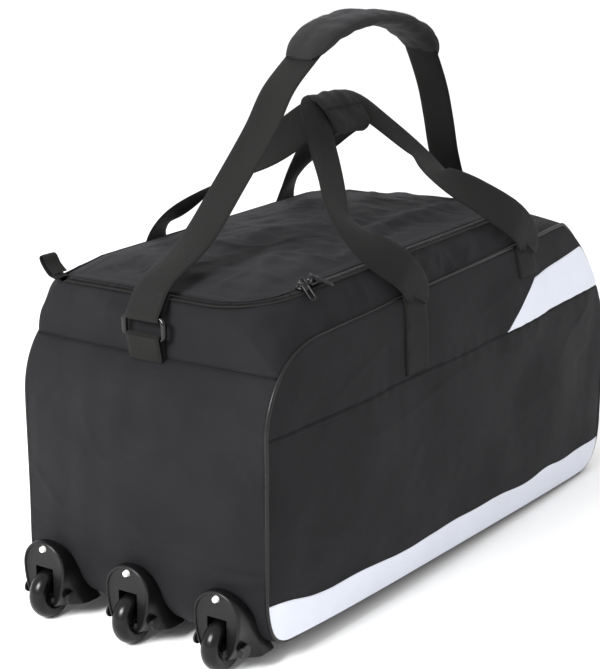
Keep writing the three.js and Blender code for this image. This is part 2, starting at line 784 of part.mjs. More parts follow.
// Where the shoulder strap's hardware sits on an end: a place on the surface, the way up it and the way out.
function seat(end) {
  if (end < 0) {
    const at = endAt(0, endSeam);
    return { at, rise: V(0.08, 0, 1).normalize(), out: V(-1, 0, 0.08).normalize() };
  }
  const line = rearOutline(40);
  const i = line.findIndex((p) => p.y < endSeam);
  const rise = V(line[i - 1].x - line[i + 1].x, 0, line[i - 1].y - line[i + 1].y).normalize();
  const out = V(rise.z, 0, -rise.x);
  return { at: V(line[i].x, 0, line[i].y).addScaledVector(out, rearCrown * 0.75), rise, out };
}

// Points of a webbing end folded round a bar, in the plane of two directions, starting on the back ply.
function fold(bar, away, out, length) {
  const back = bar.clone().addScaledVector(away, length).addScaledVector(out, -webbingThickness / 2 - gap);
  const turn = steps(-Math.PI / 2, Math.PI / 2, 6).map((t) =>
    bar.clone()
      .addScaledVector(away, -turnRadius * Math.cos(t))
      .addScaledVector(out, turnRadius * Math.sin(t)),
  );
  return [back, ...turn];
}

// A rectangular ring with rounded corners: its two long bars lie along Y at the given places.
function ring(name, low, high) {
  const half = (ringInside + ringBar) / 2;
  const rise = high.clone().sub(low);
  const size = rise.length();
  rise.normalize();
  const corner = 6;
  const turn = (y, z, from) =>
    steps(from, from + Math.PI / 2, 3).map((t) =>
      low.clone()
        .addScaledVector(across, y + corner * Math.cos(t))
        .addScaledVector(rise, z + corner * Math.sin(t)),
    );
  const path = [
    ...turn(half - corner, size - corner, 0),
    ...turn(-half + corner, size - corner, Math.PI / 2),
    ...turn(-half + corner, corner, Math.PI),
    ...turn(half - corner, corner, 1.5 * Math.PI),
  ];
  const normal = rise.clone().cross(across);
  sweep(name, framesAlong(path, () => normal, true), roundSection(ringBar / 2, 8), gloss, true);
}

function ringSet(end, label) {
  const { at, rise, out } = seat(end);
  const low = at.clone()
    .addScaledVector(rise, 25)
    .addScaledVector(out, turnRadius + webbingThickness / 2 + 6);
  const high = low.clone().addScaledVector(rise, ringHeight).addScaledVector(out, 3);
  const down = rise.clone().negate();
  const plies = fold(low, down, out.clone().negate(), 24);
  plies[0] = at.clone().addScaledVector(rise, -3).addScaledVector(out, 11);
  const path = [...plies, at.clone().addScaledVector(rise, -3).addScaledVector(out, webLift + 5)];
  ribbon(`anchor_${label}`, path, () => across, webbing, webbingThickness, strapping);
  ring(`ring_${label}`, low, high);
  return { high, rise, out };
}

const frontRing = ringSet(-1, "front");
const rearRing = ringSet(1, "rear");

// ---------- shoulder strap ----------

const padPoints = [[-150, -34], [-96, -6], [-20, 6], [60, 0], [130, -24], [168, -56]];
const padPath = smooth(padPoints.map(([x, z]) => V(x + padX, strapPlane, archHeight - padThickness + z)), 24);
const frontLeg = [[frontX + 36, 446], [frontX + 101, 482], [frontX + 161, 540], [-210, 604], [-168, 652]];
const rearLeg = [[rearX - 113, 438], [rearX - 171, 462], [262, 510], [232, 570], [212, 620]];

function strapLeg(name, ringPlace, points, padEnd, padNext) {
  const tuck = padEnd.clone().sub(padNext).normalize();
  const under = V(tuck.z, 0, -tuck.x);
  const below = under.z > 0 ? under.negate() : under;
  const meet = padEnd.clone().addScaledVector(below, 2).addScaledVector(tuck, 4);
  const free = points.map(([x, z], i) => V(x, strapPlane * Math.min(1, i / 3), z));
  const first = free[0].clone().sub(ringPlace.high).normalize();
  const face = V(-first.z, 0, first.x);
  const out = face.dot(ringPlace.out) < 0 ? face.negate() : face;
  const turned = fold(ringPlace.high, first, out, 28);
  const run = smooth([turned.at(-1).clone().addScaledVector(first, 6), ...free, meet], 22);
  ribbon(name, [...turned, ...run], () => across, webbing, webbingThickness, strapping);
}

strapLeg("strap_front", frontRing, frontLeg, padPath[0], padPath[1]);
strapLeg("strap_rear", rearRing, rearLeg, padPath.at(-1), padPath.at(-2));

function shoulderPad() {
  const last = padPath.length - 1;
  const frames = framesAlong(padPath, () => across);
  const points = frames.flatMap(({ at, a, b }, i) => {
    const t = Math.abs((2 * i) / last - 1);
    const size = Math.sqrt(1 - Math.min(t, 0.985) ** 6);
    return roundSection(1, 14).map(([p, q]) =>
      at.clone().addScaledVector(a, (Math.sign(p) * Math.abs(p) ** 0.7 * padWidth * size) / 2)
        .addScaledVector(b, (Math.sign(q) * Math.abs(q) ** 0.7 * padThickness * size) / 2),
    );
  });
  addMesh("shoulder_pad", closedGeometry(points, sweepTriangles(frames.length, 14, false)), padding);
}

shoulderPad();

// ---------- zip sliders and pulls ----------

const sliderBase = zipThickness + 3 * gap;
const sliderRise = sliderBase + sliderHeight;
const pullLift = 4.6; // the pull's hinge above the slider's bridge

// A slider on the zip: a tapered body with a bridge on top, pointing along the zip.
function slider(name, at, heading, upward) {
  const side = upward.clone().cross(heading);
  const shape = [[-0.5, -0.36], [-0.1, -0.5], [0.5, -0.42], [0.5, 0.42], [-0.1, 0.5], [-0.5, 0.36]];
  const ringOf = (z, scale) =>
    shape.map(([p, q]) =>
      at.clone()
        .addScaledVector(heading, p * sliderLength * scale)
        .addScaledVector(side, q * sliderWidth * scale)
        .addScaledVector(upward, z),
    );
  const points = [ringOf(sliderBase, 1), ringOf(sliderBase + 2.4, 1), ringOf(sliderRise, 0.45)].flat();
  addMesh(name, closedGeometry(points, sweepTriangles(3, shape.length, false)), gloss);
}

// A framed pull hanging from the slider's bridge, drawn as a flat tab with a window.
function pull(name, at, down, upward) {
  const top = at.clone().addScaledVector(upward, sliderRise + pullLift);
  const side = upward.clone().cross(down).normalize();
  const half = tabWidth / 2;
  const inner = half - tabFrame;
  const rightEdge = [[half - 2, 0], [half, 8], [half, tabLength - 3], [half - 3, tabLength]];
  const outline = [...rightEdge, ...rightEdge.toReversed().map(([x, y]) => [-x, y])];
  const low = tabLength - 2 * tabFrame - windowLength;
  const high = tabLength - 2 * tabFrame;
  const windowCorners = [[-inner, low], [-inner, high], [inner, high], [inner, low]];
  const shape = new THREE.Shape(outline.map(([x, y]) => new THREE.Vector2(x, y)));
  shape.holes.push(new THREE.Path(windowCorners.map(([x, y]) => new THREE.Vector2(x, y))));
  const tab = new THREE.ExtrudeGeometry(shape, { depth: tabThickness, bevelEnabled: false });
  tab.translate(0, 0, -tabThickness / 2);
  const basis = new THREE.Matrix4().makeBasis(side, down, side.clone().cross(down)).setPosition(top);
  addMesh(name, fromSolid(toSolid(tab.applyMatrix4(basis))), gloss);
}

// The near slider stands at the start of the straight, and the front one just round the corner from it.
const cornerTilt = Math.atan2(frontDrop, openingRadius);
const cornerMiddle = V(frontJoin, openingRadius - openingHalf, openingZ(frontJoin));
const cornerUp = V(-Math.sin(cornerTilt), 0, Math.cos(cornerTilt));
const cornerStart = sliderSpace / 2 / openingRadius;
const cornerAlong = V(Math.cos(cornerTilt), 0, Math.sin(cornerTilt));
const outwards = V(0, -Math.cos(cornerStart), 0).addScaledVector(cornerAlong, -Math.sin(cornerStart));
const nearPullWay = V(0.6, -0.66, -0.45).normalize();
const frontPullWay = outwards.clone().multiplyScalar(0.66).add(V(0, 0, -0.72)).normalize();
const nearSliderAt = V(frontJoin + sliderSpace / 2, -openingHalf, openingZ(frontJoin + sliderSpace / 2));
const frontSliderAt = cornerMiddle.clone().addScaledVector(outwards, openingRadius);
slider("slider_near", nearSliderAt, along, up);
slider("slider_front", frontSliderAt, outwards.clone().cross(cornerUp), cornerUp);
pull("pull_near", nearSliderAt, nearPullWay, up);
pull("pull_front", frontSliderAt, frontPullWay, cornerUp);

// ---------- loop tab at the end of the zip, and the grab handle on the other end ----------

const tabShift = 8; // keeps the loop out of the lid's way

function loopTab() {
  const at = V(openingFront - tabShift, openingHalf - zipHalf, openingZ(openingFront) + zipThickness);
  const points = [[-4, 1], [6, 4.5], [15, 14], [20, 23], [18, 27.5], [13.5, 25], [8, 16], [-2, 7]];
  const path = points.map(([out, rise]) => V(at.x, at.y + out, at.z + rise));
  ribbon("loop_tab", path, () => along, webbing / 2, webbingThickness / 1.5, strapping);
}

loopTab();

function grabHandle() {
  const z = rearStraight + 10;
  const surface = rearX + 0.65 * rearCrown;
  const span = 85;
  const points = [[-span, 1], [-span + 18, 8], [-30, 30], [0, 34], [30, 30], [span - 18, 8], [span, 1]];
  const path = smooth(points.map(([y, d]) => V(surface + d, y, z)), 18);
  ribbon("grab_handle", path, () => up, webbing * 0.8, webbingThickness, strapping);
}

grabHandle();

// ---------- the frame ----------

const footprint = new THREE.Box3().setFromObject(bag).getCenter(new THREE.Vector3());
bag.position.set(-footprint.x, -footprint.y, 0);

export default bag;
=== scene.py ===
"""The wheeled equipment bag's looks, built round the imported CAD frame.

Shapes are worked out in millimetres in the part's own layout, and place() turns them into the row frame.
"""

import math

import bmesh
import bpy
import numpy as np
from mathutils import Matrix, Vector


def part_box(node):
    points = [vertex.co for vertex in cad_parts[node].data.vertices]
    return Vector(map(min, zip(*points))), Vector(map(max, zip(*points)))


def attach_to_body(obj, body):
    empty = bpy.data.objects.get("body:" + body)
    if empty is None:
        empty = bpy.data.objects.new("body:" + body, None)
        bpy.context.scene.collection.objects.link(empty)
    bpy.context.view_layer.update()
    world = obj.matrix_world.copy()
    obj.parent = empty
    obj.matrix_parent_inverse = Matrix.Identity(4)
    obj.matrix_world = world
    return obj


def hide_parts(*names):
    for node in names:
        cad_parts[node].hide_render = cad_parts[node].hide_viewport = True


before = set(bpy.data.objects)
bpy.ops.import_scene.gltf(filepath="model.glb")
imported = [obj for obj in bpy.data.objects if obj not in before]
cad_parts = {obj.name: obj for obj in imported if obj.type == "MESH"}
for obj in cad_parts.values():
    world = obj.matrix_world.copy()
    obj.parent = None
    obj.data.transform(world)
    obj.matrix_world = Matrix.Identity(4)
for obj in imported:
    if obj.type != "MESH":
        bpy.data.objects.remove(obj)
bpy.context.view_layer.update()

MM = 0.001

# ---- sizes of the frame, in millimetres ----
SIDE_LENGTH = 902
SIDE_SHIFT = 20
HALF = 185
TOP = 390
TOP_RISE = 25
OPEN_Z = 449
OPEN_SLOPE = 9
ARCH = 742
SKIN = 3
PIPE = 3.5
PIPING_BEAD = 2.5
FRONT = SIDE_SHIFT - SIDE_LENGTH / 2
REAR = SIDE_SHIFT + SIDE_LENGTH / 2
FRONT_CORNER = 105
FRONT_STRAIGHT = 285
REAR_CORNER = 158
REAR_STRAIGHT = 208
LOW_CORNER = 42
LOW_CORNER_TOP = 85
REAR_LOW_CORNER = 70
FRONT_CLEAR = 26
REAR_CLEAR = 5
SIDE_BULGE = 17
END_BULGE = 15
BAND = 44
SEAM = 287
SEAM_SLOPE = 0.017
ACCENT_START = 120
ACCENT_SHOULDER = 207
ACCENT_DEPTH = 60
END_SEAM = 355
END_LOW_SEAM = 124
OPEN_FRONT = -393
OPEN_REAR = 240
OPEN_HALF = 158
OPEN_RADIUS = 84
HINGE_CORNER = 12
FRONT_DROP = 13
REAR_DROP = 9
ZIP_HALF = 7
LID_DOME = 18
REAR_CROWN = 18
WEB = 50
WEB_THICK = 2.4
STRAP_PLANE = -20
WHEEL_X = -455
WHEEL_YS = (-136, 0, 136)
WHEEL_R = 33
WHEEL_W = 23
WELL_HALF = 21  # the room cut out of the cloth for each wheel
WELL_TOP = 72
WELL_BACK = 44
CLOTH_THICK = 1.6
HANDLE_FOOT = 8  # how far below the piping a handle's foot ends
HANDLE_X = {"near": (-115, 188), "far": (-150, 150)}

STEP = 4.0  # spacing of the shell's mesh
SHIFT_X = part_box("piping_near")[0].x / MM + PIPE - FRONT
SHIFT_Y = (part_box("piping_near")[0].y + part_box("piping_far")[1].y) / 2 / MM


def place(points):
    """Millimetres in the part's layout to metres in the row frame."""
    p = np.asarray(points, float).reshape(-1, 3)
    return (p + np.array([SHIFT_X, SHIFT_Y, 0])) * MM


def unplace(v):
    """A point of the row frame, in metres, back to millimetres in the part's layout."""
    return np.array([v[0] / MM - SHIFT_X, v[1] / MM - SHIFT_Y, v[2] / MM])


# ---------- small tools ----------


def unit(v):
    v = np.asarray(v, float)
    return v / np.maximum(np.linalg.norm(v, axis=-1, keepdims=True), 1e-9)


def smoothstep(low, high, x):
    t = np.clip((np.asarray(x, float) - low) / (high - low), 0, 1)
    return t * t * (3 - 2 * t)


def ripple(p, seed, wavelength, count=22):
    """A smooth random field of about unit size over points in millimetres."""
    rng = np.random.default_rng(seed)
    p = np.asarray(p, float)
    total = np.zeros(p.shape[:-1])
    for _ in range(count):
        way = rng.normal(size=p.shape[-1])
        way *= 2 * np.pi / (wavelength * rng.uniform(0.7, 1.6)) / np.linalg.norm(way)
        total += np.sin(p @ way + rng.uniform(0, 2 * np.pi))
    return total / math.sqrt(count / 2)


def waves(p, *layers):
    """Ripples added up, each with its height, seed and wavelength."""
    return sum(height * ripple(p, seed, length) for height, seed, length in layers)


def creases(p, seed, wavelength):
    """A field of narrow raised folds, from 0 to 1."""
    return np.clip(1 - np.abs(ripple(p, seed, wavelength)) * 1.6, 0, 1) ** 2


def curve(points, count):
    """Points evenly spaced along a Catmull-Rom curve through the given ones."""
    p = np.asarray(points, float)
    ext = np.vstack([2 * p[0] - p[1], p, 2 * p[-1] - p[-2]])
    out = []
    for i in range(1, len(ext) - 2):
        a, b, c, d = ext[i - 1], ext[i], ext[i + 1], ext[i + 2]
        t = np.linspace(0, 1, 24, endpoint=False)[:, None]
        square, cube = 2 * a - 5 * b + 4 * c - d, 3 * b - a - 3 * c + d
        out.append(0.5 * (2 * b + (c - a) * t + square * t**2 + cube * t**3))
    return resample(np.vstack([*out, p[-1:]]), count)


def run_along(p):
    return np.concatenate([[0], np.cumsum(np.linalg.norm(np.diff(p, axis=0), axis=1))])


def read_at(at, run, values):
    """Rows of values given along a run, read at other places on it."""
    return np.stack([np.interp(at, run, values[:, k]) for k in range(values.shape[1])], axis=1)


def resample(p, count):
    run = run_along(p)
    return read_at(np.linspace(0, run[-1], count), run, p)


def flat_uv(u, v):
    return np.stack(np.broadcast_arrays(u, v), axis=-1)


def squared(wave, power):
    """A sine or a cosine pushed outwards, for sections with flatter sides."""
    return np.sign(wave) * np.abs(wave) ** power


def tangents(p):
    return unit(np.gradient(p, axis=0))


def grid_normals(grid):
    return unit(np.cross(np.gradient(grid, axis=0), np.gradient(grid, axis=1)))


class Cloth:
    """Collects patches into one mesh with a UV map in metres."""

    def __init__(self):
        self.points = []
        self.faces = []
        self.slots = []
        self.uvs = []
        self.count = 0

    def patch(self, grid, uv, keep=None, closed=False, flip=False):
        """A grid of points (rows, columns, 3), with its flat place uv (rows, columns, 2) in mm."""
        rows, cols = grid.shape[:2]
        ids = np.arange(rows * cols).reshape(rows, cols) + self.count
        self.points.append(grid.reshape(-1, 3))
        flat = uv.reshape(-1, 2)
        for i in range(rows - 1):
            for j in range(cols if closed else cols - 1):
                k = (j + 1) % cols
                if keep is not None and not keep[i, j]:
                    continue
                face = [ids[i, j], ids[i + 1, j], ids[i + 1, k], ids[i, k]]
                at = [flat[v - self.count] for v in face]
                if flip:
                    face, at = face[::-1], at[::-1]
                self.faces.append(face)
                self.slots.append(0)
                self.uvs.extend(at)
        self.count += rows * cols

    def cap(self, ids, slot=0):
        """A flat face over points already added, given by their numbers."""
        self.faces.append(list(ids))
        self.slots.append(slot)
        self.uvs.extend([(0, 0)] * len(ids))

    def sleeve(self, grid, uv, flip=False):
        """A closed sleeve of cloth with a flat face at each end."""
        start, (rows, cols) = self.count, grid.shape[:2]
        self.patch(grid, uv, closed=True, flip=flip)
        near = range(start + cols - 1, start - 1, -1)
        far = range(start + (rows - 1) * cols, start + rows * cols)
        for end in (near, far):
            self.cap(end[::-1] if flip else end)

    def make(self, name, materials, weld=0.0):
        mesh = bpy.data.meshes.new(name)
        mesh.from_pydata(place(np.vstack(self.points)).tolist(), [], self.faces)
        layer = mesh.uv_layers.new(name="flat")
        layer.data.foreach_set("uv", (np.array(self.uvs) * MM).ravel())
        mesh.polygons.foreach_set("material_index", self.slots)
        mesh.polygons.foreach_set("use_smooth", [True] * len(self.faces))
        obj = bpy.data.objects.new(name, mesh)
        bpy.context.scene.collection.objects.link(obj)
        for m in materials:
            mesh.materials.append(m)
        if weld:
            bm = bmesh.new()
            bm.from_mesh(mesh)
            bmesh.ops.remove_doubles(bm, verts=bm.verts, dist=weld * MM)
            bm.to_mesh(mesh)
            bm.free()
        mesh.update()
        return obj


def tube(cloth, path, radius, sides=10, closed=False, normal=(0, 0, 1)):
    """A round bead along a path. radius is one number or one for each point."""
    p = np.asarray(path, float)
    t = unit(np.roll(p, -1, 0) - np.roll(p, 1, 0)) if closed else tangents(p)
    side = unit(np.cross(t, np.asarray(normal, float)))
    top = np.cross(side, t)
    angles = np.linspace(0, 2 * np.pi, sides, endpoint=False)
    r = np.broadcast_to(np.asarray(radius, float), (len(p),))[:, None, None]
    ring = side[:, None] * np.cos(angles)[None, :, None] + top[:, None] * np.sin(angles)[None, :, None]
    grid = p[:, None] + ring * r
    if closed:
        grid = np.concatenate([grid, grid[:1]])
    run = np.concatenate([run_along(p), [0]])[: len(grid)]
    uv = flat_uv(run[:, None], angles[None] * 3)
    if closed:
        cloth.patch(grid, uv, closed=True)
    else:
        cloth.sleeve(grid, uv)


# A thread's outline, in shares of its length and width.
THREAD = (
    (-0.5, 0, -0.3), (-0.3, 0.5, 0.3), (0.3, 0.5, 0.3), (0.5, 0, -0.3), (0.3, -0.5, 0.3), (-0.3, -0.5, 0.3)
)  # fmt: skip
THREAD_FACES = ((0, 1, 6), (1, 2, 7, 6), (2, 3, 7), (3, 4, 7), (4, 5, 6, 7), (5, 0, 6))


def stitches(cloth, path, normals, slot=0, spacing=4.2, length=2.9, width=0.7):
    """Short raised threads along a path on a surface."""
    p = np.asarray(path, float)
    run = run_along(p)
    count = int(run[-1] / spacing)
    at = (np.arange(count) + 0.5) * spacing
    middle = read_at(at, run, p)
    way = unit(read_at(at, run, tangents(p)))
    up = unit(read_at(at, run, np.asarray(normals)))
    side = np.cross(way, up)
    for m, w, s, u in zip(middle, way, side, up):
        start = cloth.count
        ring = np.array([m + w * a * length + s * b * width + u * c * 0.8 * width for a, b, c in THREAD])
        ridge = np.array([m + w * a * length + u * 0.5 * width for a in (-0.25, 0.25)])
        cloth.points.append(np.vstack([ring, ridge]))
        cloth.count += len(ring) + len(ridge)
        for face in THREAD_FACES:
            cloth.cap([start + k for k in face][::-1], slot)


# ---------- materials ----------


class Paint:
    """Builds one node material around a Principled shader."""

    def __init__(self, name, **uniform):
        self.material = bpy.data.materials.new(name)
        self.material.use_nodes = True
        self.tree = self.material.node_tree
        self.tree.nodes.clear()
        self.shader = self.node("ShaderNodeBsdfPrincipled")
        out = self.node("ShaderNodeOutputMaterial")
        self.tree.links.new(self.shader.outputs[0], out.inputs[0])
        for key, value in uniform.items():
            socket = self.shader.inputs[key.replace("_", " ")]
            socket.default_value = (*value, 1) if isinstance(value, tuple) else value

    def node(self, kind, **settings):
        made = self.tree.nodes.new(kind)
        for key, value in settings.items():
            setattr(made, key, value)
        return made

    def join(self, source, socket):
        if isinstance(source, bpy.types.NodeSocket):
            self.tree.links.new(source, socket)
        else:
            socket.default_value = source

    def math(self, operation, a, b=0.0, c=0.0):
        made = self.node("ShaderNodeMath", operation=operation)
        for source, socket in zip((a, b, c), made.inputs):
            self.join(source, socket)
        return made.outputs[0]

    def flat(self):
        """The UV map, in metres, as two sockets."""
        if not hasattr(self, "_flat"):
            uv = self.node("ShaderNodeUVMap", uv_map="flat")
            split = self.node("ShaderNodeSeparateXYZ")
            self.tree.links.new(uv.outputs[0], split.inputs[0])
            self._flat = split.outputs[0], split.outputs[1]
        return self._flat

    def solid(self):
        """Object coordinates, in metres."""
        if not hasattr(self, "_solid"):
            self._solid = self.node("ShaderNodeTexCoord").outputs["Object"]
        return self._solid

    def noise(self, size, detail=2.0, roughness=0.5):
        """Cloudy noise with features of about a size, in millimetres."""
        made = self.node("ShaderNodeTexNoise")
        self.join(self.solid(), made.inputs["Vector"])
        made.inputs["Scale"].default_value = 1 / (size * MM)
        made.inputs["Detail"].default_value = detail
        made.inputs["Roughness"].default_value = roughness
        return made.outputs["Fac"]

    def wave(self, coordinate, pitch):
        """A sine along a coordinate, with its pitch in millimetres."""
        return self.math("SINE", self.math("MULTIPLY", coordinate, 2 * math.pi / (pitch * MM)))

    def weave(self, pitch):
        u, v = self.flat()
        return self.math("MULTIPLY", self.wave(u, pitch), self.wave(v, pitch))

    def between(self, value, low, high, out_low, out_high):
        made = self.node("ShaderNodeMapRange")
        sources = {"Value": value, "From Min": low, "From Max": high, "To Min": out_low, "To Max": out_high}
        for key, source in sources.items():
            self.join(source, made.inputs[key])
        return made.outputs[0]

    def tint(self, dark, light, share):
        """The base colour, from dark to light by a share."""
        ramp = self.node("ShaderNodeMix", data_type="RGBA")
        self.join(share, ramp.inputs[0])
        ramp.inputs[6].default_value = (*dark, 1)
        ramp.inputs[7].default_value = (*light, 1)
        self.tree.links.new(ramp.outputs[2], self.shader.inputs["Base Color"])

    def rough(self, low, high, share):
        self.join(self.between(share, 0.3, 0.7, low, high), self.shader.inputs["Roughness"])

    def bump(self, layers):
        """Stacked bumps, each a height socket with a depth in millimetres."""
        last = None
        for height, depth in layers:
            made = self.node("ShaderNodeBump")
            self.join(height, made.inputs["Height"])
            made.inputs["Distance"].default_value = depth * MM
            made.inputs["Strength"].default_value = 1.0
            if last:
                self.tree.links.new(last, made.inputs["Normal"])
            last = made.outputs[0]
        self.tree.links.new(last, self.shader.inputs["Normal"])


def scaled(colour, k):
    return tuple(c * k for c in colour)


def woven(name, colour, pitch=0.9, roughness=(0.62, 0.75), sheen=0.03, mottle=0.25, grain=0.10):
    """Plain-weave polyester: threads, a visible grain, soft mottling and a faint sheen."""
    cool = (0.75, 0.76, 0.85)
    p = Paint(name, Sheen_Weight=sheen, Sheen_Roughness=0.45, Sheen_Tint=cool, Specular_IOR_Level=0.1)
    cloud = p.noise(60, 3)
    grainy = p.noise(1.3, 2, 0.7)
    share = p.math("MULTIPLY_ADD", grainy, 0.5, p.math("MULTIPLY", cloud, 0.5))
    p.tint(scaled(colour, 1 - mottle), scaled(colour, 1 + mottle), p.between(share, 0.35, 0.65, 0, 1))
    p.rough(*roughness, grainy)
    p.bump([(p.noise(28, 2), 1.1), (grainy, grain * 1.6), (p.weave(pitch), grain)])
    return p.material


def ribbed(name, colour, pitch=1.9, roughness=(0.6, 0.78)):
    """Woven webbing: fine ribs across and a slight herringbone."""
    warm = (0.8, 0.78, 0.76)
    p = Paint(name, Sheen_Weight=0.03, Sheen_Roughness=0.5, Sheen_Tint=warm, Specular_IOR_Level=0.12)
    u, v = p.flat()
    slant = p.math("PINGPONG", v, 3.2 * MM)
    ribs = p.wave(p.math("ADD", u, slant), pitch)
    cross = p.wave(v, 1.1)
    grainy = p.noise(1.6, 2, 0.6)
    share = p.between(p.math("MULTIPLY_ADD", ribs, 0.2, grainy), 0.3, 0.8, 0, 1)
    p.tint(scaled(colour, 0.7), scaled(colour, 1.35), share)
    p.rough(*roughness, grainy)
    p.bump([(p.noise(22, 2), 0.8), (ribs, 0.16), (cross, 0.1)])
    return p.material


def moulded(name, colour, roughness=(0.28, 0.42), coat=0.0, scuff=0.25):
    """Moulded plastic or rubber with faint flow marks, fine texture and scuffs."""
    p = Paint(name, Coat_Weight=coat, Coat_Roughness=0.12, Specular_IOR_Level=0.2)
    fine = p.noise(0.9, 2)
    cloud = p.noise(14, 3, 0.6)
    p.tint(scaled(colour, 1 - scuff), scaled(colour, 1 + scuff), cloud)
    p.rough(*roughness, p.math("MULTIPLY_ADD", fine, 0.4, p.math("MULTIPLY", cloud, 0.6)))
    p.bump([(fine, 0.04), (p.noise(9, 2), 0.12)])
    return p.material


FABRIC = (0.0072, 0.0072, 0.0081)
WHITE = (0.62, 0.64, 0.71)
MAT = {
    "fabric": woven("fabric", FABRIC),
    "white": woven("white_fabric", WHITE, roughness=(0.45, 0.6), sheen=0.0, mottle=0.03, grain=0.05),
    "webbing": ribbed("webbing", (0.0062, 0.0060, 0.0058)),
    "padding": woven("padding", (0.012, 0.0112, 0.0112), roughness=(0.6, 0.75), sheen=0.05),
    "thread": woven("thread", (0.014, 0.014, 0.015), roughness=(0.4, 0.55), mottle=0.2),
    "piping": moulded("piping", (0.005, 0.005, 0.0052), roughness=(0.32, 0.45), coat=0.06),
    "tape": ribbed("zip_tape", (0.0035, 0.0035, 0.0035), pitch=1.2),
    "coil": moulded("zip_coil", (0.008, 0.008, 0.008), roughness=(0.22, 0.35)),
    "gloss": moulded("gloss_black", (0.003, 0.003, 0.0033), roughness=(0.15, 0.25), coat=0.2),
    "housing": moulded("housing", (0.0035, 0.0035, 0.0038), roughness=(0.28, 0.4), coat=0.05),
    "tyre": moulded("tyre", (0.002, 0.002, 0.002), roughness=(0.2, 0.3), coat=0.05),
    "rivet": moulded("rivet", (0.7, 0.7, 0.67), roughness=(0.25, 0.4), coat=0.3, scuff=0.05),
    "board": moulded("board", (0.008, 0.008, 0.009), roughness=(0.5, 0.7)),
}


# ---------- the side outline ----------


def bezier(a, b, c, d, count=60):
    t = np.linspace(0, 1, count)[:, None]
    a, b, c, d = (np.array(p, float) for p in (a, b, c, d))
    return (1 - t) ** 3 * a + 3 * (1 - t) ** 2 * t * b + 3 * (1 - t) * t**2 * c + t**3 * d


def side_outline():
    top = TOP + TOP_RISE
    parts = [
        bezier(
            (FRONT + LOW_CORNER, FRONT_CLEAR),
            (FRONT + 14, FRONT_CLEAR + 2),
            (FRONT + 2, 50),
            (FRONT, LOW_CORNER_TOP),
        ),
        bezier(
            (FRONT, FRONT_STRAIGHT),
            (FRONT, FRONT_STRAIGHT + 62),
            (FRONT + 45, TOP - 3),
            (FRONT + FRONT_CORNER, TOP),
        ),
        bezier(
            (REAR - REAR_CORNER, top),
            (REAR - REAR_CORNER + 34, top - 13),
            (REAR - 5, REAR_STRAIGHT + 80),
            (REAR, REAR_STRAIGHT),
        ),
        bezier(
            (REAR - 5, REAR_LOW_CORNER),
            (REAR - 9, 25),
            (REAR - 32, REAR_CLEAR),
            (REAR - REAR_LOW_CORNER, REAR_CLEAR),
        ),
    ]
    loop = np.vstack([*parts, parts[0][:1]])
    length = run_along(loop)[-1]
    return resample(loop, int(length / STEP) + 1)[:-1]


OUTLINE = side_outline()
OUT_TANGENT = unit(np.roll(OUTLINE, -1, 0) - np.roll(OUTLINE, 1, 0))
OUT_NORMAL = np.stack([-OUT_TANGENT[:, 1], OUT_TANGENT[:, 0]], axis=1)  # points out of the bag
TOP_HALF = OUTLINE[:, 1] > TOP / 2
UPPER = OUTLINE[TOP_HALF]
UPPER = UPPER[np.argsort(UPPER[:, 0])]
LOWER = OUTLINE[~TOP_HALF]
LOWER = LOWER[np.argsort(LOWER[:, 0])]


def top_at(x):
    return np.interp(x, UPPER[:, 0], UPPER[:, 1])


def bottom_at(x):
    return np.interp(x, LOWER[:, 0], LOWER[:, 1])


def front_at(z):
    front = OUTLINE[OUTLINE[:, 0] < 0]
    front = front[front[:, 1] > FRONT_CLEAR + 1]
    front = front[np.argsort(front[:, 1])]
    return np.interp(z, front[:, 1], front[:, 0])


def seam_at(x):
    return SEAM + SEAM_SLOPE * (x - FRONT)


def band_top(x):
    x = np.asarray(x, float)
    flat = bottom_at(np.clip(x, FRONT + LOW_CORNER, REAR - REAR_LOW_CORNER)) + BAND
    corner = 14 * (1 - smoothstep(FRONT, FRONT + 90, x))
    return flat + corner + 1.6 * ripple(np.stack([x, 0 * x], -1), 5, 120)


def accent_top(x):
    rise = np.clip((x - ACCENT_START) / (ACCENT_SHOULDER - ACCENT_START), 0, 1)
    return seam_at(x) + ACCENT_DEPTH * rise + 0.09 * np.maximum(x - ACCENT_SHOULDER, 0)


def fullness(x, z):
    lengthwise = np.abs(x - SIDE_SHIFT) / (SIDE_LENGTH / 2)
    upright = np.abs(z - TOP / 2) / (TOP / 2 + TOP_RISE)
    return np.maximum(0, (1 - lengthwise**4) * (1 - upright**3))


def edge_distance(x, z):
    """Distance of a place on a side from the outline, roughly."""
    ends = np.minimum(x - FRONT, REAR - x)
    return np.maximum(0, np.minimum(ends, np.minimum(top_at(x) - z, z - bottom_at(x))))


def side_out(x, z, seed):
    """How far the cloth of a side stands out of the plane of its piping."""
    p = np.stack([x, z], axis=-1)
    free = smoothstep(0, 60, edge_distance(x, z))
    slack = 2.2 * ripple(p, seed, 210) + 0.45 * ripple(p * [1, 0.6], seed + 1, 80)
    slack = slack + 0.1 * ripple(p, seed + 2, 30)
    tucks = 0.8 * creases(p * [0.55, 1.3], seed + 3, 190)
    pull = np.exp(-((z - seam_at(x)) ** 2) / 900) * 1.2
    pucker = 0.5 * np.sin(x / 5.5 + 2 * np.sin(x / 31)) * np.exp(-np.abs(z - seam_at(x)) / 9)
    groove = 1.5 * np.exp(-(((z - seam_at(x)) / 1.9) ** 2))
    hem = 0.8 * smoothstep(-7, -1.2, z - seam_at(x)) * (z < seam_at(x))
    return SIDE_BULGE * fullness(x, z) + free * (slack + tucks - pull) + pucker - groove + hem


SEEDS = {-1: 11, 1: 47}


def side_point(x, z, sign, lift=0.0):
    x, z = np.broadcast_arrays(np.asarray(x, float), np.asarray(z, float))
    y = sign * (HALF + side_out(x, z, SEEDS[sign]) + lift)
    return np.stack([x, y, z], axis=-1)


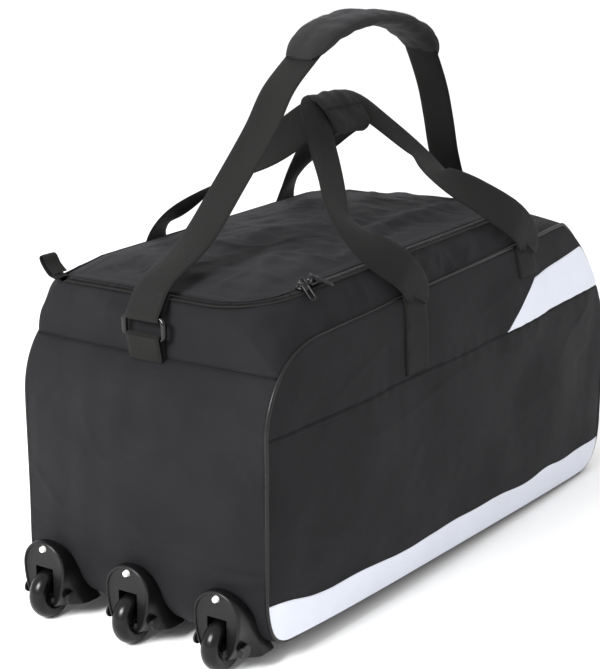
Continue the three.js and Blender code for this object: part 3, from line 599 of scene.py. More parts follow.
def spread(low, high, count):
    t = np.linspace(0, np.pi, count)
    return low + (high - low) * (1 - np.cos(t)) / 2


def side_patch(cloth, sign):
    """One side's cloth, with its rows closer together round the pocket seam."""
    ends = spread(FRONT + 0.6, REAR - 0.6, 60)
    xs = np.unique(np.concatenate([ends, np.linspace(FRONT + 12, REAR - 12, 210)]))
    columns = []
    for x in xs:
        low, high = bottom_at(x) + 0.3, top_at(x) - 0.3
        line = np.clip(seam_at(x), low, high)
        below = np.linspace(0, 1, 62) ** 0.9
        under = low + (line - low) * (1 - (1 - below) ** 1.25)
        above = line + (high - line) * np.linspace(0, 1, 30) ** 1.35
        columns.append(np.concatenate([under, above[1:]]))
    z = np.array(columns)
    x = np.broadcast_to(xs[:, None], z.shape)
    grid = side_point(x, z, sign)
    cloth.patch(grid, np.stack([x, z], -1), flip=sign > 0)


# ---------- the opening ----------

FRONT_JOIN = OPEN_FRONT + OPEN_RADIUS
REAR_JOIN = OPEN_REAR - OPEN_RADIUS


def opening_z(x):
    run = np.clip((x - FRONT_JOIN) / (REAR_JOIN - FRONT_JOIN), 0, 1)
    past_front = np.maximum(FRONT_JOIN - x, 0) / OPEN_RADIUS
    past_rear = np.maximum(x - REAR_JOIN, 0) / OPEN_RADIUS
    return OPEN_Z - OPEN_SLOPE * (1 - run) - FRONT_DROP * past_front - REAR_DROP * past_rear**1.5


def opening_half_loop(end, offset, corner, straight):
    """Half of the loop round the opening, from the near side round one end to the far side."""
    edge = OPEN_FRONT - offset if end < 0 else OPEN_REAR + offset

    def turn(radius, y, angles):
        x = edge - end * radius * (1 - np.sin(angles))
        return np.stack([x, y + np.sign(y) * radius * (np.cos(angles) - 1)], 1)

    near = turn(OPEN_RADIUS + offset, -(OPEN_HALF + offset), np.linspace(0, np.pi / 2, corner + 1))
    far_y = OPEN_HALF + (SKIN + 0.4 if offset > 0 else 0)
    bend = corner // 3
    arc = turn(max(HINGE_CORNER + offset, 2), far_y, np.linspace(np.pi / 2, 0, bend + 1))
    join = FRONT_JOIN if end < 0 else REAR_JOIN
    back = np.linspace(arc[-1, 0], join, corner - bend + 1)[1:]
    far = np.vstack([arc, np.stack([back, np.full(len(back), far_y)], 1)])
    ys = np.linspace(near[-1, 1], far[0, 1], straight + 1)[1:-1]
    middle = np.stack([np.full(len(ys), edge), ys], 1)
    loop = np.vstack([near, middle, far])
    return np.column_stack([loop, opening_z(loop[:, 0])])


def bow(y, power=2):
    return 1 - np.abs(y / HALF) ** power


def foot_half_loop(end, corner, straight):
    """The seam under the shoulder at one end: up the near piping, across, and back down the far piping."""
    join = FRONT_JOIN if end < 0 else REAR_JOIN
    edge = front_at(END_SEAM) if end < 0 else REAR - REAR_CORNER
    xs = np.linspace(join, edge, corner + 1)
    zs = top_at(xs)
    if end < 0:
        zs[-1] = END_SEAM
    near = np.column_stack([xs, np.full(len(xs), -HALF), zs])
    far = near[::-1] * [1, -1, 1]
    ys = np.linspace(-HALF, HALF, straight + 1)[1:-1]
    if end < 0:
        middle = np.column_stack([edge - 5 * bow(ys), ys, np.full(len(ys), END_SEAM)])
    else:
        middle = np.column_stack([np.full(len(ys), edge), ys, top_at(edge) + REAR_CROWN * bow(ys)])
    return np.vstack([near, middle, far])


CORNER = 42
ACROSS = 84
ALONG = int((REAR_JOIN - FRONT_JOIN) / STEP)
EDGE = ZIP_HALF + 0.4


def shoulder_ring():
    """The strip of cloth round the opening, as loops from the seam below it up to the zip."""
    xs = np.linspace(FRONT_JOIN, REAR_JOIN, ALONG + 1)[1:-1]

    def side_run(sign, y, z):
        return np.column_stack([xs, np.full(len(xs), sign * y), z])

    foot_front = foot_half_loop(-1, CORNER, ACROSS)
    foot_rear = foot_half_loop(1, CORNER, ACROSS)
    head_front = opening_half_loop(-1, EDGE, CORNER, ACROSS)
    head_rear = opening_half_loop(1, EDGE, CORNER, ACROSS)
    feet = [side_run(sign, HALF, top_at(xs)) for sign in (-1, 1)]
    foot = np.vstack([foot_front[::-1], feet[0], foot_rear, feet[1][::-1]])
    head = np.vstack(
        [
            head_front[::-1],
            side_run(-1, OPEN_HALF + EDGE, opening_z(xs)),
            head_rear,
            side_run(1, OPEN_HALF + SKIN + 0.4, opening_z(xs))[::-1],
        ]
    )
    rows = 22
    v = np.linspace(0, 1, rows)[:, None, None]
    grid = foot[None] * (1 - v) + head[None] * v
    out = unit((foot - head) * [1, 1, 0])
    for _ in range(40):
        out = unit(np.roll(out, 1, 0) + 2 * out + np.roll(out, -1, 0))
    out = unit(out + [0, 0, 1])
    across_front = smoothstep(-300, -400, head[:, 0])
    bulge = 3.5 + 9 * across_front
    grid += out[None] * bulge[None, :, None] * 4 * v * (1 - v)
    loose = np.sin(np.pi * v[..., 0]) ** 0.7
    folds = waves(grid, (1.6, 21, 95), (0.7, 22, 36)) + 1.8 * creases(grid * [1, 1, 0.4], 23, 90)
    grid += out[None] * (loose * folds)[..., None]
    lip = 1.3 * np.exp(-(((v[..., 0] - 0.93) / 0.05) ** 2))
    grid += out[None] * lip[..., None]
    rim = grid[-1:] - out[None] * 2.2 - [0, 0, 1.5]
    grid = np.concatenate([grid, rim])
    up = np.linspace(0, 70, rows + 1)
    return grid, flat_uv(run_along(foot)[None], up[:, None])


# ---------- ends and bottom ----------

YS = np.linspace(-HALF, HALF, ACROSS + 1)


def strip(indices, swell, seed, amount):
    """Cloth over part of the outline, from one piping to the other."""
    line = OUTLINE[indices]
    out = OUT_NORMAL[indices]
    t = np.linspace(0, 1, len(indices))
    width = bow(YS)
    grid = np.zeros((len(line), len(YS), 3))
    grid[..., 0] = line[:, None, 0]
    grid[..., 1] = YS[None]
    grid[..., 2] = line[:, None, 1]
    normal = np.zeros_like(grid)
    normal[..., 0] = out[:, None, 0]
    normal[..., 2] = out[:, None, 1]
    held = smoothstep(0, 0.1, t)[:, None] * smoothstep(0, 0.1, 1 - t)[:, None]
    held = held * smoothstep(0, 0.25, width)[None]
    slack = waves(grid, (2.2, seed, 190), (0.8, seed + 1, 62)) + 1.6 * creases(grid, seed + 2, 150)
    rise = swell(t)[:, None] * width[None] + amount * held * slack
    grid += normal * rise[..., None]
    return grid, flat_uv(YS[None], run_along(line)[:, None])


def clear_of_wheels(grid):
    """Faces that don't cross the room where a wheel turns."""
    middle = (grid[:-1, :-1] + grid[1:, 1:]) / 2
    keep = np.ones(middle.shape[:2], bool)
    x, z = middle[..., 0], middle[..., 2]
    for y in WHEEL_YS:
        keep &= ~((np.abs(middle[..., 1] - y) < WELL_HALF) & (z < WELL_TOP) & (x < WHEEL_X + WELL_BACK))
    return keep


def end_front_patch(cloth):
    last = int(np.argmax(OUTLINE[:, 1] > END_SEAM))
    indices = np.arange(0, last + 1)
    grid, uv = strip(indices, lambda t: END_BULGE * np.sin(np.pi * t) ** 0.8 + 5 * t, 31, 1.0)
    seam_row = foot_half_loop(-1, CORNER, ACROSS)[CORNER : CORNER + ACROSS + 1]
    shift = seam_row - grid[-1]
    ease = smoothstep(0.8, 1, np.linspace(0, 1, len(grid)))[:, None, None]
    grid = grid + shift[None] * ease
    dip = np.exp(-(((grid[..., 2] - END_LOW_SEAM - 0.02 * grid[..., 1]) / 3) ** 2))
    grid[..., 0] += 1.6 * dip * (np.abs(grid[..., 1]) < HALF - 4)
    cloth.patch(grid, uv, keep=clear_of_wheels(grid), flip=True)
    return grid


def end_rear_patch(cloth):
    first = int(np.argmax(OUTLINE[:, 0] >= REAR - REAR_CORNER))
    after = np.where((OUTLINE[:, 1] < REAR_CLEAR + 1) & (OUTLINE[:, 0] > 0))[0]
    indices = np.arange(first, after[0] + 1)
    grid, uv = strip(indices, lambda t: REAR_CROWN * (1 - t**0.8), 35, 0.8)
    seam_row = foot_half_loop(1, CORNER, ACROSS)[CORNER : CORNER + ACROSS + 1]
    shift = seam_row - grid[0]
    ease = 1 - smoothstep(0, 0.12, np.linspace(0, 1, len(grid)))[:, None, None]
    grid = grid + shift[None] * ease
    cloth.patch(grid, uv, flip=True)
    return grid, after[0]


def bottom_patch(cloth, start):
    indices = np.concatenate([np.arange(start, len(OUTLINE)), [0]])
    line = OUTLINE[indices]
    grid = np.zeros((len(line), len(YS), 3))
    grid[..., 0] = line[:, None, 0]
    grid[..., 1] = YS[None]
    sag = REAR_CLEAR * bow(YS, 4)[None] * np.clip((line[:, None, 0] - FRONT) / 200, 0, 1)
    sag = sag * smoothstep(0, 30, REAR - REAR_LOW_CORNER - line[:, None, 0])
    grid[..., 2] = line[:, None, 1] - sag
    cloth.patch(grid, flat_uv(YS[None], run_along(line)[:, None]), keep=clear_of_wheels(grid), flip=True)


def solidify(obj, thickness=CLOTH_THICK):
    """Give a sheet its thickness, inwards."""
    mod = obj.modifiers.new("thickness", "SOLIDIFY")
    mod.thickness = thickness * MM
    mod.offset = -1.0


def attach(obj, body, slot, *nodes):
    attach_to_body(obj, body)
    if nodes:
        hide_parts(*nodes)


def build_shell():
    cloth = Cloth()
    side_patch(cloth, -1)
    side_patch(cloth, 1)
    ring, uv = shoulder_ring()
    closed = np.concatenate([ring, ring[:, :1]], axis=1)
    closed_uv = np.concatenate([uv, uv[:, :1]], axis=1)
    cloth.patch(closed, closed_uv, flip=True)
    front = end_front_patch(cloth)
    rear, after = end_rear_patch(cloth)
    bottom_patch(cloth, after)
    shell = cloth.make("bag_shell", [MAT["fabric"]], weld=0.8)
    solidify(shell)
    attach(
        shell, "bag", "fabric", "side_lower_near", "side_lower_far", "side_upper_near", "side_upper_far",
        "end_front", "end_rear", "bottom", "shoulder_front", "shoulder_rear", "shoulder_near", "shoulder_far",
    )  # fmt: skip
    return ring, front, rear


ring_grid, front_grid, rear_grid = build_shell()


# ---------- white panels on the sides ----------


def overlay(name, sign, xs, low, high, node):
    """A white panel sewn over a side: it follows the side's surface and turns down at its edges."""
    shares = np.concatenate([[0, 0.02], np.linspace(0.06, 0.94, 14), [0.98, 1]])
    lo, hi = low(xs), high(xs)
    z = lo[:, None] + (hi - lo)[:, None] * shares[None]
    x = np.broadcast_to(xs[:, None], z.shape)
    end = np.minimum(np.arange(len(xs)), np.arange(len(xs))[::-1])
    raised = np.minimum(end[:, None] > 0, (shares > 0) & (shares < 1)[None])
    grid = side_point(x, z, sign, np.where(raised, 1.0, -0.8))
    cloth = Cloth()
    cloth.patch(grid, np.stack([x, z], -1), flip=sign > 0)
    attach(cloth.make(name, [MAT["white"]]), "bag", "white_fabric", node)


def band_low(x):
    return bottom_at(x) + 1.5


def band_high(x):
    return np.maximum(band_top(x), bottom_at(x) + 2.5)


def accent_low(x):
    return np.minimum(seam_at(x) + 0.5, top_at(x) - 3)


def accent_high(x):
    return np.minimum(np.maximum(accent_top(x), seam_at(x) + 1.2), top_at(x) - 2)


def white_panels():
    for side, sign in (("near", -1), ("far", 1)):
        xs = np.concatenate([[FRONT + 1.2], spread(FRONT + 2, REAR - 7, 180)])
        overlay(f"band_{side}", sign, xs, band_low, band_high, f"side_band_{side}")
        slope = np.linspace(ACCENT_START, ACCENT_SHOULDER, 26)
        xs = np.unique(np.concatenate([slope, np.linspace(ACCENT_SHOULDER, REAR - 26, 44)]))
        overlay(f"accent_{side}", sign, xs, accent_low, accent_high, f"side_accent_{side}")


white_panels()


# ---------- piping ----------


def build_piping():
    for side, sign in (("near", -1), ("far", 1)):
        path = np.column_stack([OUTLINE[:, 0], np.full(len(OUTLINE), sign * HALF), OUTLINE[:, 1]])
        wobble = 0.35 * ripple(path, 8, 90)
        path = path + np.column_stack([OUT_NORMAL[:, 0] * wobble, 0 * wobble, OUT_NORMAL[:, 1] * wobble])
        cloth = Cloth()
        tube(cloth, path, PIPING_BEAD, 12, closed=True, normal=(0, 1, 0))
        obj = cloth.make(f"piping_{side}_bead", [MAT["piping"]])
        attach(obj, "bag", "piping", f"piping_{side}")


build_piping()


# ---------- lid and zip ----------


def lid_grid():
    edge = -(ZIP_HALF + 0.2)
    half = OPEN_HALF + edge
    radius = OPEN_RADIUS + edge
    angles = np.linspace(0, np.pi / 2, 30)
    near = -half + radius * (1 - np.cos(angles))
    far_y = OPEN_HALF - 0.6
    ys = np.concatenate([near, np.linspace(near[-1], far_y, 62)[1:]])
    middle = (OPEN_FRONT + OPEN_REAR) / 2
    length = (OPEN_REAR - OPEN_FRONT) / 2
    us = spread(0, 1, 150) * 0.3 + np.linspace(0, 1, 150) * 0.7
    rows = []
    for i, y in enumerate(ys):
        tuck = radius * (1 - math.sin(angles[i])) if i < len(angles) else 0
        past = max(0, y - (far_y - HINGE_CORNER))
        tuck += HINGE_CORNER - math.sqrt(max(HINGE_CORNER**2 - past**2, 0)) if past > 0 else 0
        low, high = OPEN_FRONT - edge + tuck, OPEN_REAR + edge - tuck
        x = low + (high - low) * us
        rise = (1 - min(abs(y / OPEN_HALF), 1) ** 2) * (1 - np.abs((x - middle) / length) ** 3)
        rows.append(np.column_stack([x, np.full(len(x), y), opening_z(x) + LID_DOME * rise]))
    return np.array(rows)


# Soft folds of the lid: middle x, y, direction in degrees, length, width, height, in mm.
LID_FOLDS = (
    (-250, -60, 25, 150, 16, 4.5),
    (-160, 30, -20, 200, 22, 5),
    (-60, -90, 12, 160, 14, 4),
    (20, -20, 35, 170, 20, 4.5),
    (110, -80, -8, 150, 15, 5),
    (150, 40, 28, 130, 22, 4),
    (-320, 60, 70, 120, 18, 4),
    (60, 90, 4, 220, 20, 3.5),
    (-120, -118, 3, 130, 9, 3),
    (180, -30, 80, 110, 14, 3.5),
)


def folds_at(x, y, folds):
    total = np.zeros_like(x)
    for fx, fy, angle, length, width, height in folds:
        c, s = math.cos(math.radians(angle)), math.sin(math.radians(angle))
        along, off = (x - fx) * c + (y - fy) * s, -(x - fx) * s + (y - fy) * c
        off = off + 0.0012 * along**2
        fold = np.exp(-((off / width) ** 2)) - 0.4 * np.exp(-(((off - 1.6 * width) / width) ** 2))
        total += height * np.exp(-((along / length * 1.7) ** 2)) * fold
    return total


def build_lid():
    grid = lid_grid()
    x, y = grid[..., 0], grid[..., 1]
    lengthwise = np.minimum(x - OPEN_FRONT, OPEN_REAR - x)
    inside = np.minimum(lengthwise, np.minimum(y + OPEN_HALF, OPEN_HALF - y))
    free = smoothstep(8, 55, inside)
    slack = waves(grid, (1.8, 61, 160), (0.9, 62, 55), (0.3, 63, 20))
    sag = 3.0 * smoothstep(60, 150, inside)
    grid[..., 2] += free * (slack + 1.5 * creases(grid[..., :2], 64, 120) + folds_at(x, y, LID_FOLDS) - sag)
    hem = smoothstep(7, 8.5, inside) * (1 - smoothstep(15, 18, inside))
    grid[..., 2] += 0.9 * hem
    cloth = Cloth()
    cloth.patch(grid, grid[..., :2].copy(), flip=True)
    lid = cloth.make("lid_cover", [MAT["fabric"]])
    solidify(lid)
    attach(lid, "lid", "fabric", "lid")


build_lid()


def zip_line():
    """The zip's middle: across the wheel end, along the near side and across the other end."""
    front = opening_half_loop(-1, 0, 40, 60)[::-1]
    rear = opening_half_loop(1, 0, 40, 60)
    keep_front = front[:, 1] < OPEN_HALF - 14
    keep_rear = rear[:, 1] < OPEN_HALF - 14
    xs = np.linspace(FRONT_JOIN, REAR_JOIN, 90)[1:-1]
    straight = np.column_stack([xs, np.full(len(xs), -OPEN_HALF), opening_z(xs)])
    return np.vstack([front[keep_front], straight, rear[keep_rear]])


def path_sides(line):
    """Outward direction of the zip line in plan."""
    t = tangents(line)
    return unit(np.column_stack([t[:, 1], -t[:, 0], 0 * t[:, 0]]))


# The tape's section, as distances from the zip's middle and heights, and one turn of the coil.
TAPE_OFFSETS = np.array([0.3, 1.5, 4, 7.5, 10.5])
TAPE_HEIGHTS = np.array([1.0, 1.1, 0.9, 0.9, 0.2])
COIL_TURN = ((-0.9, 0, 2.0), (0.5, -0.35, 2.9), (3.0, -0.35, 2.6), (3.6, 0, 1.4))
COIL_PITCH = 2.0


def build_zip():
    line = resample(zip_line(), 460)
    out = path_sides(line)
    run = run_along(line)
    halves = (("zip_tape_body", 1, "bag", "zip_body"), ("zip_tape_lid", -1, "lid", "zip_lid"))
    for name, sign, body, node in halves:
        grid = line[None] + sign * out[None] * TAPE_OFFSETS[:, None, None]
        grid = grid + np.array([0, 0, 1]) * TAPE_HEIGHTS[:, None, None]
        cloth = Cloth()
        cloth.patch(grid, flat_uv(run[None], TAPE_OFFSETS[:, None]), flip=sign < 0)
        tape = cloth.make(name, [MAT["tape"]])
        solidify(tape, 0.7)
        attach(tape, body, "zip", node)
        coil = Cloth()
        count = int(run[-1] / COIL_PITCH)
        at = (np.arange(count) + (0.25 if sign > 0 else 0.75)) * COIL_PITCH
        middle = read_at(at, run, line)
        side = unit(read_at(at, run, out)) * sign
        way = unit(read_at(at, run, tangents(line)))
        for m, s, w in zip(middle, side, way):
            loop = np.array([m + s * a + w * b + np.array([0, 0, c]) for a, b, c in COIL_TURN])
            tube(coil, loop, 0.42, 5)
        chain = coil.make(f"zip_coil_{body}", [MAT["coil"]])
        attach(chain, body, "zip")


build_zip()


# ---------- webbing ----------


def ribbon(path, widthways, width=WEB, thickness=WEB_THICK, curl=0.0, columns=9):
    """A woven strap with softly rounded edges and a curl across its width, as one closed mesh."""
    p = np.asarray(path, float)
    w = unit(widthways)
    t = tangents(p)
    n = unit(np.cross(w, t))
    w = unit(np.cross(t, n))
    half = width / 2
    us = np.linspace(-1, 1, columns)
    edge = 1 - np.abs(us) ** 6 * 0.55
    section = [(u * half, thickness / 2 * e) for u, e in zip(us, edge)]
    section += [(half + 0.3, 0)]
    section += [(u * half, -thickness / 2 * e) for u, e in zip(us[::-1], edge)]
    section += [(-half - 0.3, 0)]
    a = np.array([s[0] for s in section])
    b = np.array([s[1] for s in section])
    bend = np.broadcast_to(np.asarray(curl, float), (len(p),))
    lift = bend[:, None] * ((a / half) ** 2 - 0.4)[None]
    grid = p[:, None] + w[:, None] * a[None, :, None] + n[:, None] * (b[None] + lift)[..., None]
    cloth = Cloth()
    cloth.sleeve(grid, flat_uv(run_along(p)[:, None], a[None] + 60), flip=True)
    return cloth


def finish_webbing(cloth, name, body, node):
    """Make webbing and the threads on it one object."""
    attach(cloth.make(name, [MAT["webbing"], MAT["thread"]]), body, "webbing", node)


def box_stitch(cloth, corner_points, normal):
    """Threads round a quadrilateral and across its two diagonals."""
    a, b, c, d = (np.asarray(q, float) for q in corner_points)
    for start, stop in ((a, b), (b, c), (c, d), (d, a), (a, c), (b, d)):
        path = np.linspace(start, stop, 12)
        stitches(cloth, path, np.broadcast_to(normal, path.shape), slot=1)


def sewn_webbing():
    """The webbing under the handles' feet: long legs to the pocket seam in front, short ones behind."""
    for side, sign in (("near", -1), ("far", 1)):
        for i, x in enumerate(HANDLE_X[side]):
            low = seam_at(x) + 4 if i == 0 else top_at(x) - 46
            z = np.linspace(low, top_at(x) + 3, 40)
            us = np.linspace(-1, 1, 11)
            cloth = Cloth()
            top_z = np.broadcast_to(z[:, None], (len(z), len(us)))
            px = x + us[None] * WEB / 2 + 0 * top_z
            lift = 2.6 - 0.9 * np.abs(us[None]) ** 8 + 0 * top_z
            surface = side_point(px, np.minimum(top_z, top_at(px) - 1), sign, lift)
            surface[..., 2] = top_z
            over = smoothstep(top_at(x) - 14, top_at(x), top_z)
            surface[..., 1] = sign * np.maximum(np.abs(surface[..., 1]), HALF + (PIPE + 2.2) * over)
            under = surface - np.array([0, sign * 2.3, 0])
            grid = np.concatenate([surface, under[:, ::-1]], axis=1)
            uv = flat_uv(top_z[:, :1], np.concatenate([us, us[::-1]])[None] * 25 + 60)
            cloth.sleeve(grid if sign > 0 else grid[:, ::-1], uv, flip=True)
            n = np.array([0, sign, 0.05])
            face = lambda u, h: side_point(np.array(x + u), np.array(h), sign, 2.9)
            foot_z = top_at(x) - HANDLE_FOOT
            high, deep = foot_z - 2, foot_z - 34
            box_stitch(cloth, [face(-20, high), face(20, high), face(20, deep), face(-20, deep)], n)
            if i == 0:
                for u in (-22, 22):
                    line = side_point(np.full(30, x + u), np.linspace(low + 2, deep - 4, 30), sign, 2.8)
                    stitches(cloth, line, np.broadcast_to(n, line.shape), slot=1)
            end = "front" if i == 0 else "rear"
            finish_webbing(cloth, f"sewn_{side}_{end}", "bag", f"webbing_{side}_{end}")


sewn_webbing()

HANDLE_LEGS = {
    "near": (
        ((0, -1, 3), (0, -1.4, 14), (-34, 2, 48), (-70, 32, 82), (-66, 74, 114), (-30, 112, 144)),
        ((0, -1, 3), (0, -1.4, 14), (-44, 0, 50), (-100, 28, 88), (-136, 68, 118), (-118, 112, 142)),
    ),
    "far": (
        ((0, -1, 3), (0, -1.4, 14), (-16, 6, 44), (-26, 34, 76), (-6, 78, 112), (36, 130, 152)),
        ((0, -1, 3), (0, -1.4, 14), (-8, 6, 44), (-26, 34, 76), (-54, 76, 112), (-84, 128, 152)),
    ),
}
HANDLE_BASE = HALF + PIPE + CLOTH_THICK + WEB_THICK + 2
GRIP_MIDDLE = np.array([-4, 0, 602.0])
GRIP_LEAN = -math.pi / 4
GRIP_FACE = np.array([0, math.sin(GRIP_LEAN), math.cos(GRIP_LEAN)])
GRIP_WIDTH = np.array([0, math.cos(GRIP_LEAN), -math.sin(GRIP_LEAN)])
GRIP_LENGTH = 84
GRIP_HALF = 33


def handle_path(side, sign):
    feet = HANDLE_X[side]

    def leg(i):
        base = top_at(feet[i]) - HANDLE_FOOT
        shape = HANDLE_LEGS[side][i]
        return [(feet[i] + dx, -sign * (HANDLE_BASE - inward), base + rise) for dx, inward, rise in shape]

    crest = [GRIP_MIDDLE + [x, 0, 0] + GRIP_FACE * sign * 3 for x in np.linspace(-56, 56, 4)]
    return curve([*leg(0), *crest, *leg(1)[::-1]], 190)


def build_handles():
    for side, sign in (("near", 1), ("far", -1)):
        path = handle_path(side, sign)
        t = tangents(path)
        foot_z = top_at(HANDLE_X[side][0]) - HANDLE_FOOT
        raised = smoothstep(foot_z + 60, GRIP_MIDDLE[2] - 30, path[:, 2])
        lean = -sign * math.pi / 2 * (1 - raised) + GRIP_LEAN * raised
        widthways = unit(np.cross(np.column_stack([0 * lean, np.sin(lean), np.cos(lean)]), t))
        for _ in range(60):
            widthways[1:-1] = unit(widthways[:-2] + 2 * widthways[1:-1] + widthways[2:])
        run = run_along(path)
        free = smoothstep(30, 80, run) * smoothstep(30, 80, run[-1] - run)
        cloth = ribbon(path, widthways, curl=3.0 * free * np.sin(run / 60), columns=11)
        for x in HANDLE_X[side]:
            z = top_at(x) - HANDLE_FOOT
            y = -sign * (HANDLE_BASE + 2.6)
            corners = [(x - 20, y, z + 2), (x + 20, y, z + 2), (x + 20, y, z + 18), (x - 20, y, z + 18)]
            box_stitch(cloth, corners, np.array([0, -sign, 0.0]))
        finish_webbing(cloth, f"carry_strap_{side}", f"{side}_handle", f"handle_{side}")


build_handles()


def build_grip():
    """The padded sleeve that wraps both carry straps."""
    angles = np.linspace(0, 2 * np.pi, 72, endpoint=False)
    a = squared(np.cos(angles), 0.45) * GRIP_HALF
    b = squared(np.sin(angles), 0.75) * 12
    ts = np.linspace(-1, 1, 40)
    shell = []
    for t in ts:
        roll = (1 - abs(t) ** 14) ** 0.5
        size = 0.93 + 0.07 * roll
        dent = 1 - 0.12 * np.exp(-(((t - 0.1) / 0.2) ** 2))
        sweep = 3.0 * t * t
        ringed = (
            GRIP_MIDDLE
            + [t * GRIP_LENGTH / 2, 0, 0]
            + GRIP_WIDTH * (a * size)[:, None]
            + GRIP_FACE * (b * size * dent - sweep * (np.abs(a) / GRIP_HALF) ** 2)[:, None]
        )
        shell.append(ringed)
    grid = np.array(shell)
    normals = grid_normals(np.concatenate([grid, grid[:, :1]], 1))[:, :-1]
    grid += normals * (0.8 * ripple(grid, 71, 30))[..., None]
    inner = grid - (grid - grid.mean(axis=1, keepdims=True)) * 0.2
    cloth = Cloth()
    uv = flat_uv(ts[:, None] * GRIP_LENGTH / 2, angles[None] * 20)
    rim = np.concatenate([inner[:1], grid, inner[-1:]])
    rim_uv = np.concatenate([uv[:1] - 4, uv, uv[-1:] + 4])
    cloth.patch(rim, rim_uv, closed=True)
    core = inner[[0, 8, 32, -1]]
    cloth.patch(core, rim_uv[[0, 8, 32, -1]], closed=True, flip=True)
    for t in (3, 36):
        loop = np.vstack([grid[t], grid[t, :1]])
        out = unit(loop - loop.mean(axis=0))
        stitches(cloth, loop + out * 0.2, out, slot=1)
    flap = grid[:, 18] + GRIP_FACE * 0.6
    tube(cloth, flap, 0.9, 6)
    obj = cloth.make("grip_wrap", [MAT["padding"], MAT["thread"]], weld=0.05)
    attach(obj, "near_handle", "padding", "grip")


build_grip()


# ---------- rings, loops and the shoulder strap ----------

RING_BAR = 6
TURN = RING_BAR / 2 + 0.4 + WEB_THICK / 2


def end_seat(end):
    """Where the shoulder strap's loop is sewn: a place, the way up the cloth and the way out of it."""
    if end < 0:
        at = np.array([front_at(END_SEAM) - 5, 0, END_SEAM], float)
        return at, unit([0.08, 0, 1]), unit([-1, 0, 0.08])
    column = rear_grid[:, len(YS) // 2]
    i = int(np.argmax(column[:, 2] < END_SEAM))
    rise = unit(column[i - 4] - column[i + 4])
    return column[i], rise, np.array([rise[2], 0, -rise[0]])


def ring_bars(end):
    """The two long bars of a ring, from the box of its CAD node."""
    low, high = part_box("ring_front" if end < 0 else "ring_rear")
    low, high = unplace(low), unplace(high)
    r = RING_BAR / 2
    return np.array([high[0] - r, 0, low[2] + r]), np.array([low[0] + r, 0, high[2] - r])


def fold_round(bar, away, out, length):
    """A strap end folded round a bar, from its back ply to its front one."""
    back = bar + away * length - out * (WEB_THICK / 2 + 0.4)
    t = np.linspace(-math.pi / 2, math.pi / 2, 12)[:, None]
    turn = bar - away * TURN * np.cos(t) + out * TURN * np.sin(t)
    return np.vstack([back[None], turn])


def build_ring(end, label):
    low, high = ring_bars(end)
    half = (54 + RING_BAR) / 2
    rise = high - low
    size = np.linalg.norm(rise)
    rise = rise / size
    corner = 7
    path = []
    for y, z, start in (
        (half - corner, size - corner, 0),
        (-half + corner, size - corner, 90),
        (-half + corner, corner, 180),
        (half - corner, corner, 270),
    ):
        for t in np.radians(np.linspace(start, start + 90, 7)):
            path.append(low + rise * (z + corner * math.sin(t)) + np.array([0, y + corner * math.cos(t), 0]))
    path = resample(np.array([*path, path[0]]), 97)[:-1]
    normal = np.cross(rise, [0, 1, 0])
    upright = np.abs(tangents(path) @ rise)
    cloth = Cloth()
    tube(cloth, path, RING_BAR / 2 + 0.9 * smoothstep(0.6, 1, upright), 12, closed=True, normal=normal)
    obj = cloth.make(f"strap_ring_{label}", [MAT["gloss"]])
    attach(obj, "bag", "gloss_black", f"ring_{label}")
    return low, high


def build_anchor(end, label, low):
    at, rise, out = end_seat(end)
    turn = fold_round(low, -rise, -out, 24)
    turn[0] = at - rise * 3 + out * 8
    lower = at - rise * 3 + out * 3.2
    path = np.vstack([turn, lower[None] + rise * 6, lower[None]])
    path = curve(path, 60)
    cloth = ribbon(path, np.broadcast_to([0, 1, 0], path.shape))
    y = 19
    face = lambda v, h: at + rise * h + out * 9.6 + np.array([0, v, 0])
    box_stitch(cloth, [face(-y, 0), face(y, 0), face(y, 12), face(-y, 12)], out)
    finish_webbing(cloth, f"anchor_loop_{label}", "bag", f"anchor_{label}")
    return out


PAD_POINTS = ((-150, -34), (-96, -6), (-20, 6), (60, 0), (130, -24), (168, -56))
PAD_X = 25
PAD_WIDTH = 66
PAD_THICK = 22
FRONT_LEG = ((-395, 446), (-330, 482), (-270, 540), (-210, 604), (-168, 652))
REAR_LEG = ((358, 438), (300, 462), (262, 510), (232, 570), (212, 620))


def pad_path(count):
    pts = [(x + PAD_X, STRAP_PLANE, ARCH - PAD_THICK + z) for x, z in PAD_POINTS]
    return curve(pts, count)


def build_strap_leg(label, high, out, points, pad_end, pad_next):
    tuck = unit(pad_end - pad_next)
    below = np.array([tuck[2], 0, -tuck[0]])
    below = -below if below[2] > 0 else below
    free = np.array([(x, STRAP_PLANE * min(1, i / 3), z) for i, (x, z) in enumerate(points)])
    first = unit(free[0] - high)
    face = np.array([-first[2], 0, first[0]])
    face = -face if face @ out < 0 else face
    turned = fold_round(high, first, face, 34)
    run = curve([turned[-1] + first * 6, *free, pad_end + below * 3 - tuck * 22], 110)
    path = np.vstack([turned, run])
    path = resample(path, 150)
    widthways = np.broadcast_to([0, 1, 0], path.shape)
    length = run_along(path)
    free_share = smoothstep(60, 130, length) * smoothstep(10, 70, length[-1] - length)
    cloth = ribbon(path, widthways, curl=2.2 * free_share * np.sin(length / 70), columns=11)
    base = high + first * 10 + face * 5.2
    corners = [base + [0, v, 0] + first * h for v, h in ((-19, 0), (19, 0), (19, 20), (-19, 20))]
    box_stitch(cloth, corners, face)
    finish_webbing(cloth, f"strap_leg_{label}", "shoulder_strap", f"strap_{label}")


def build_shoulder_strap():
    pad = pad_path(25)
    for end, label, leg, pad_end, pad_next in (
        (-1, "front", FRONT_LEG, pad[0], pad[1]),
        (1, "rear", REAR_LEG, pad[-1], pad[-2]),
    ):
        low, high = build_ring(end, label)
        out = build_anchor(end, label, low)
        build_strap_leg(label, high, out, leg, pad_end, pad_next)


build_shoulder_strap()


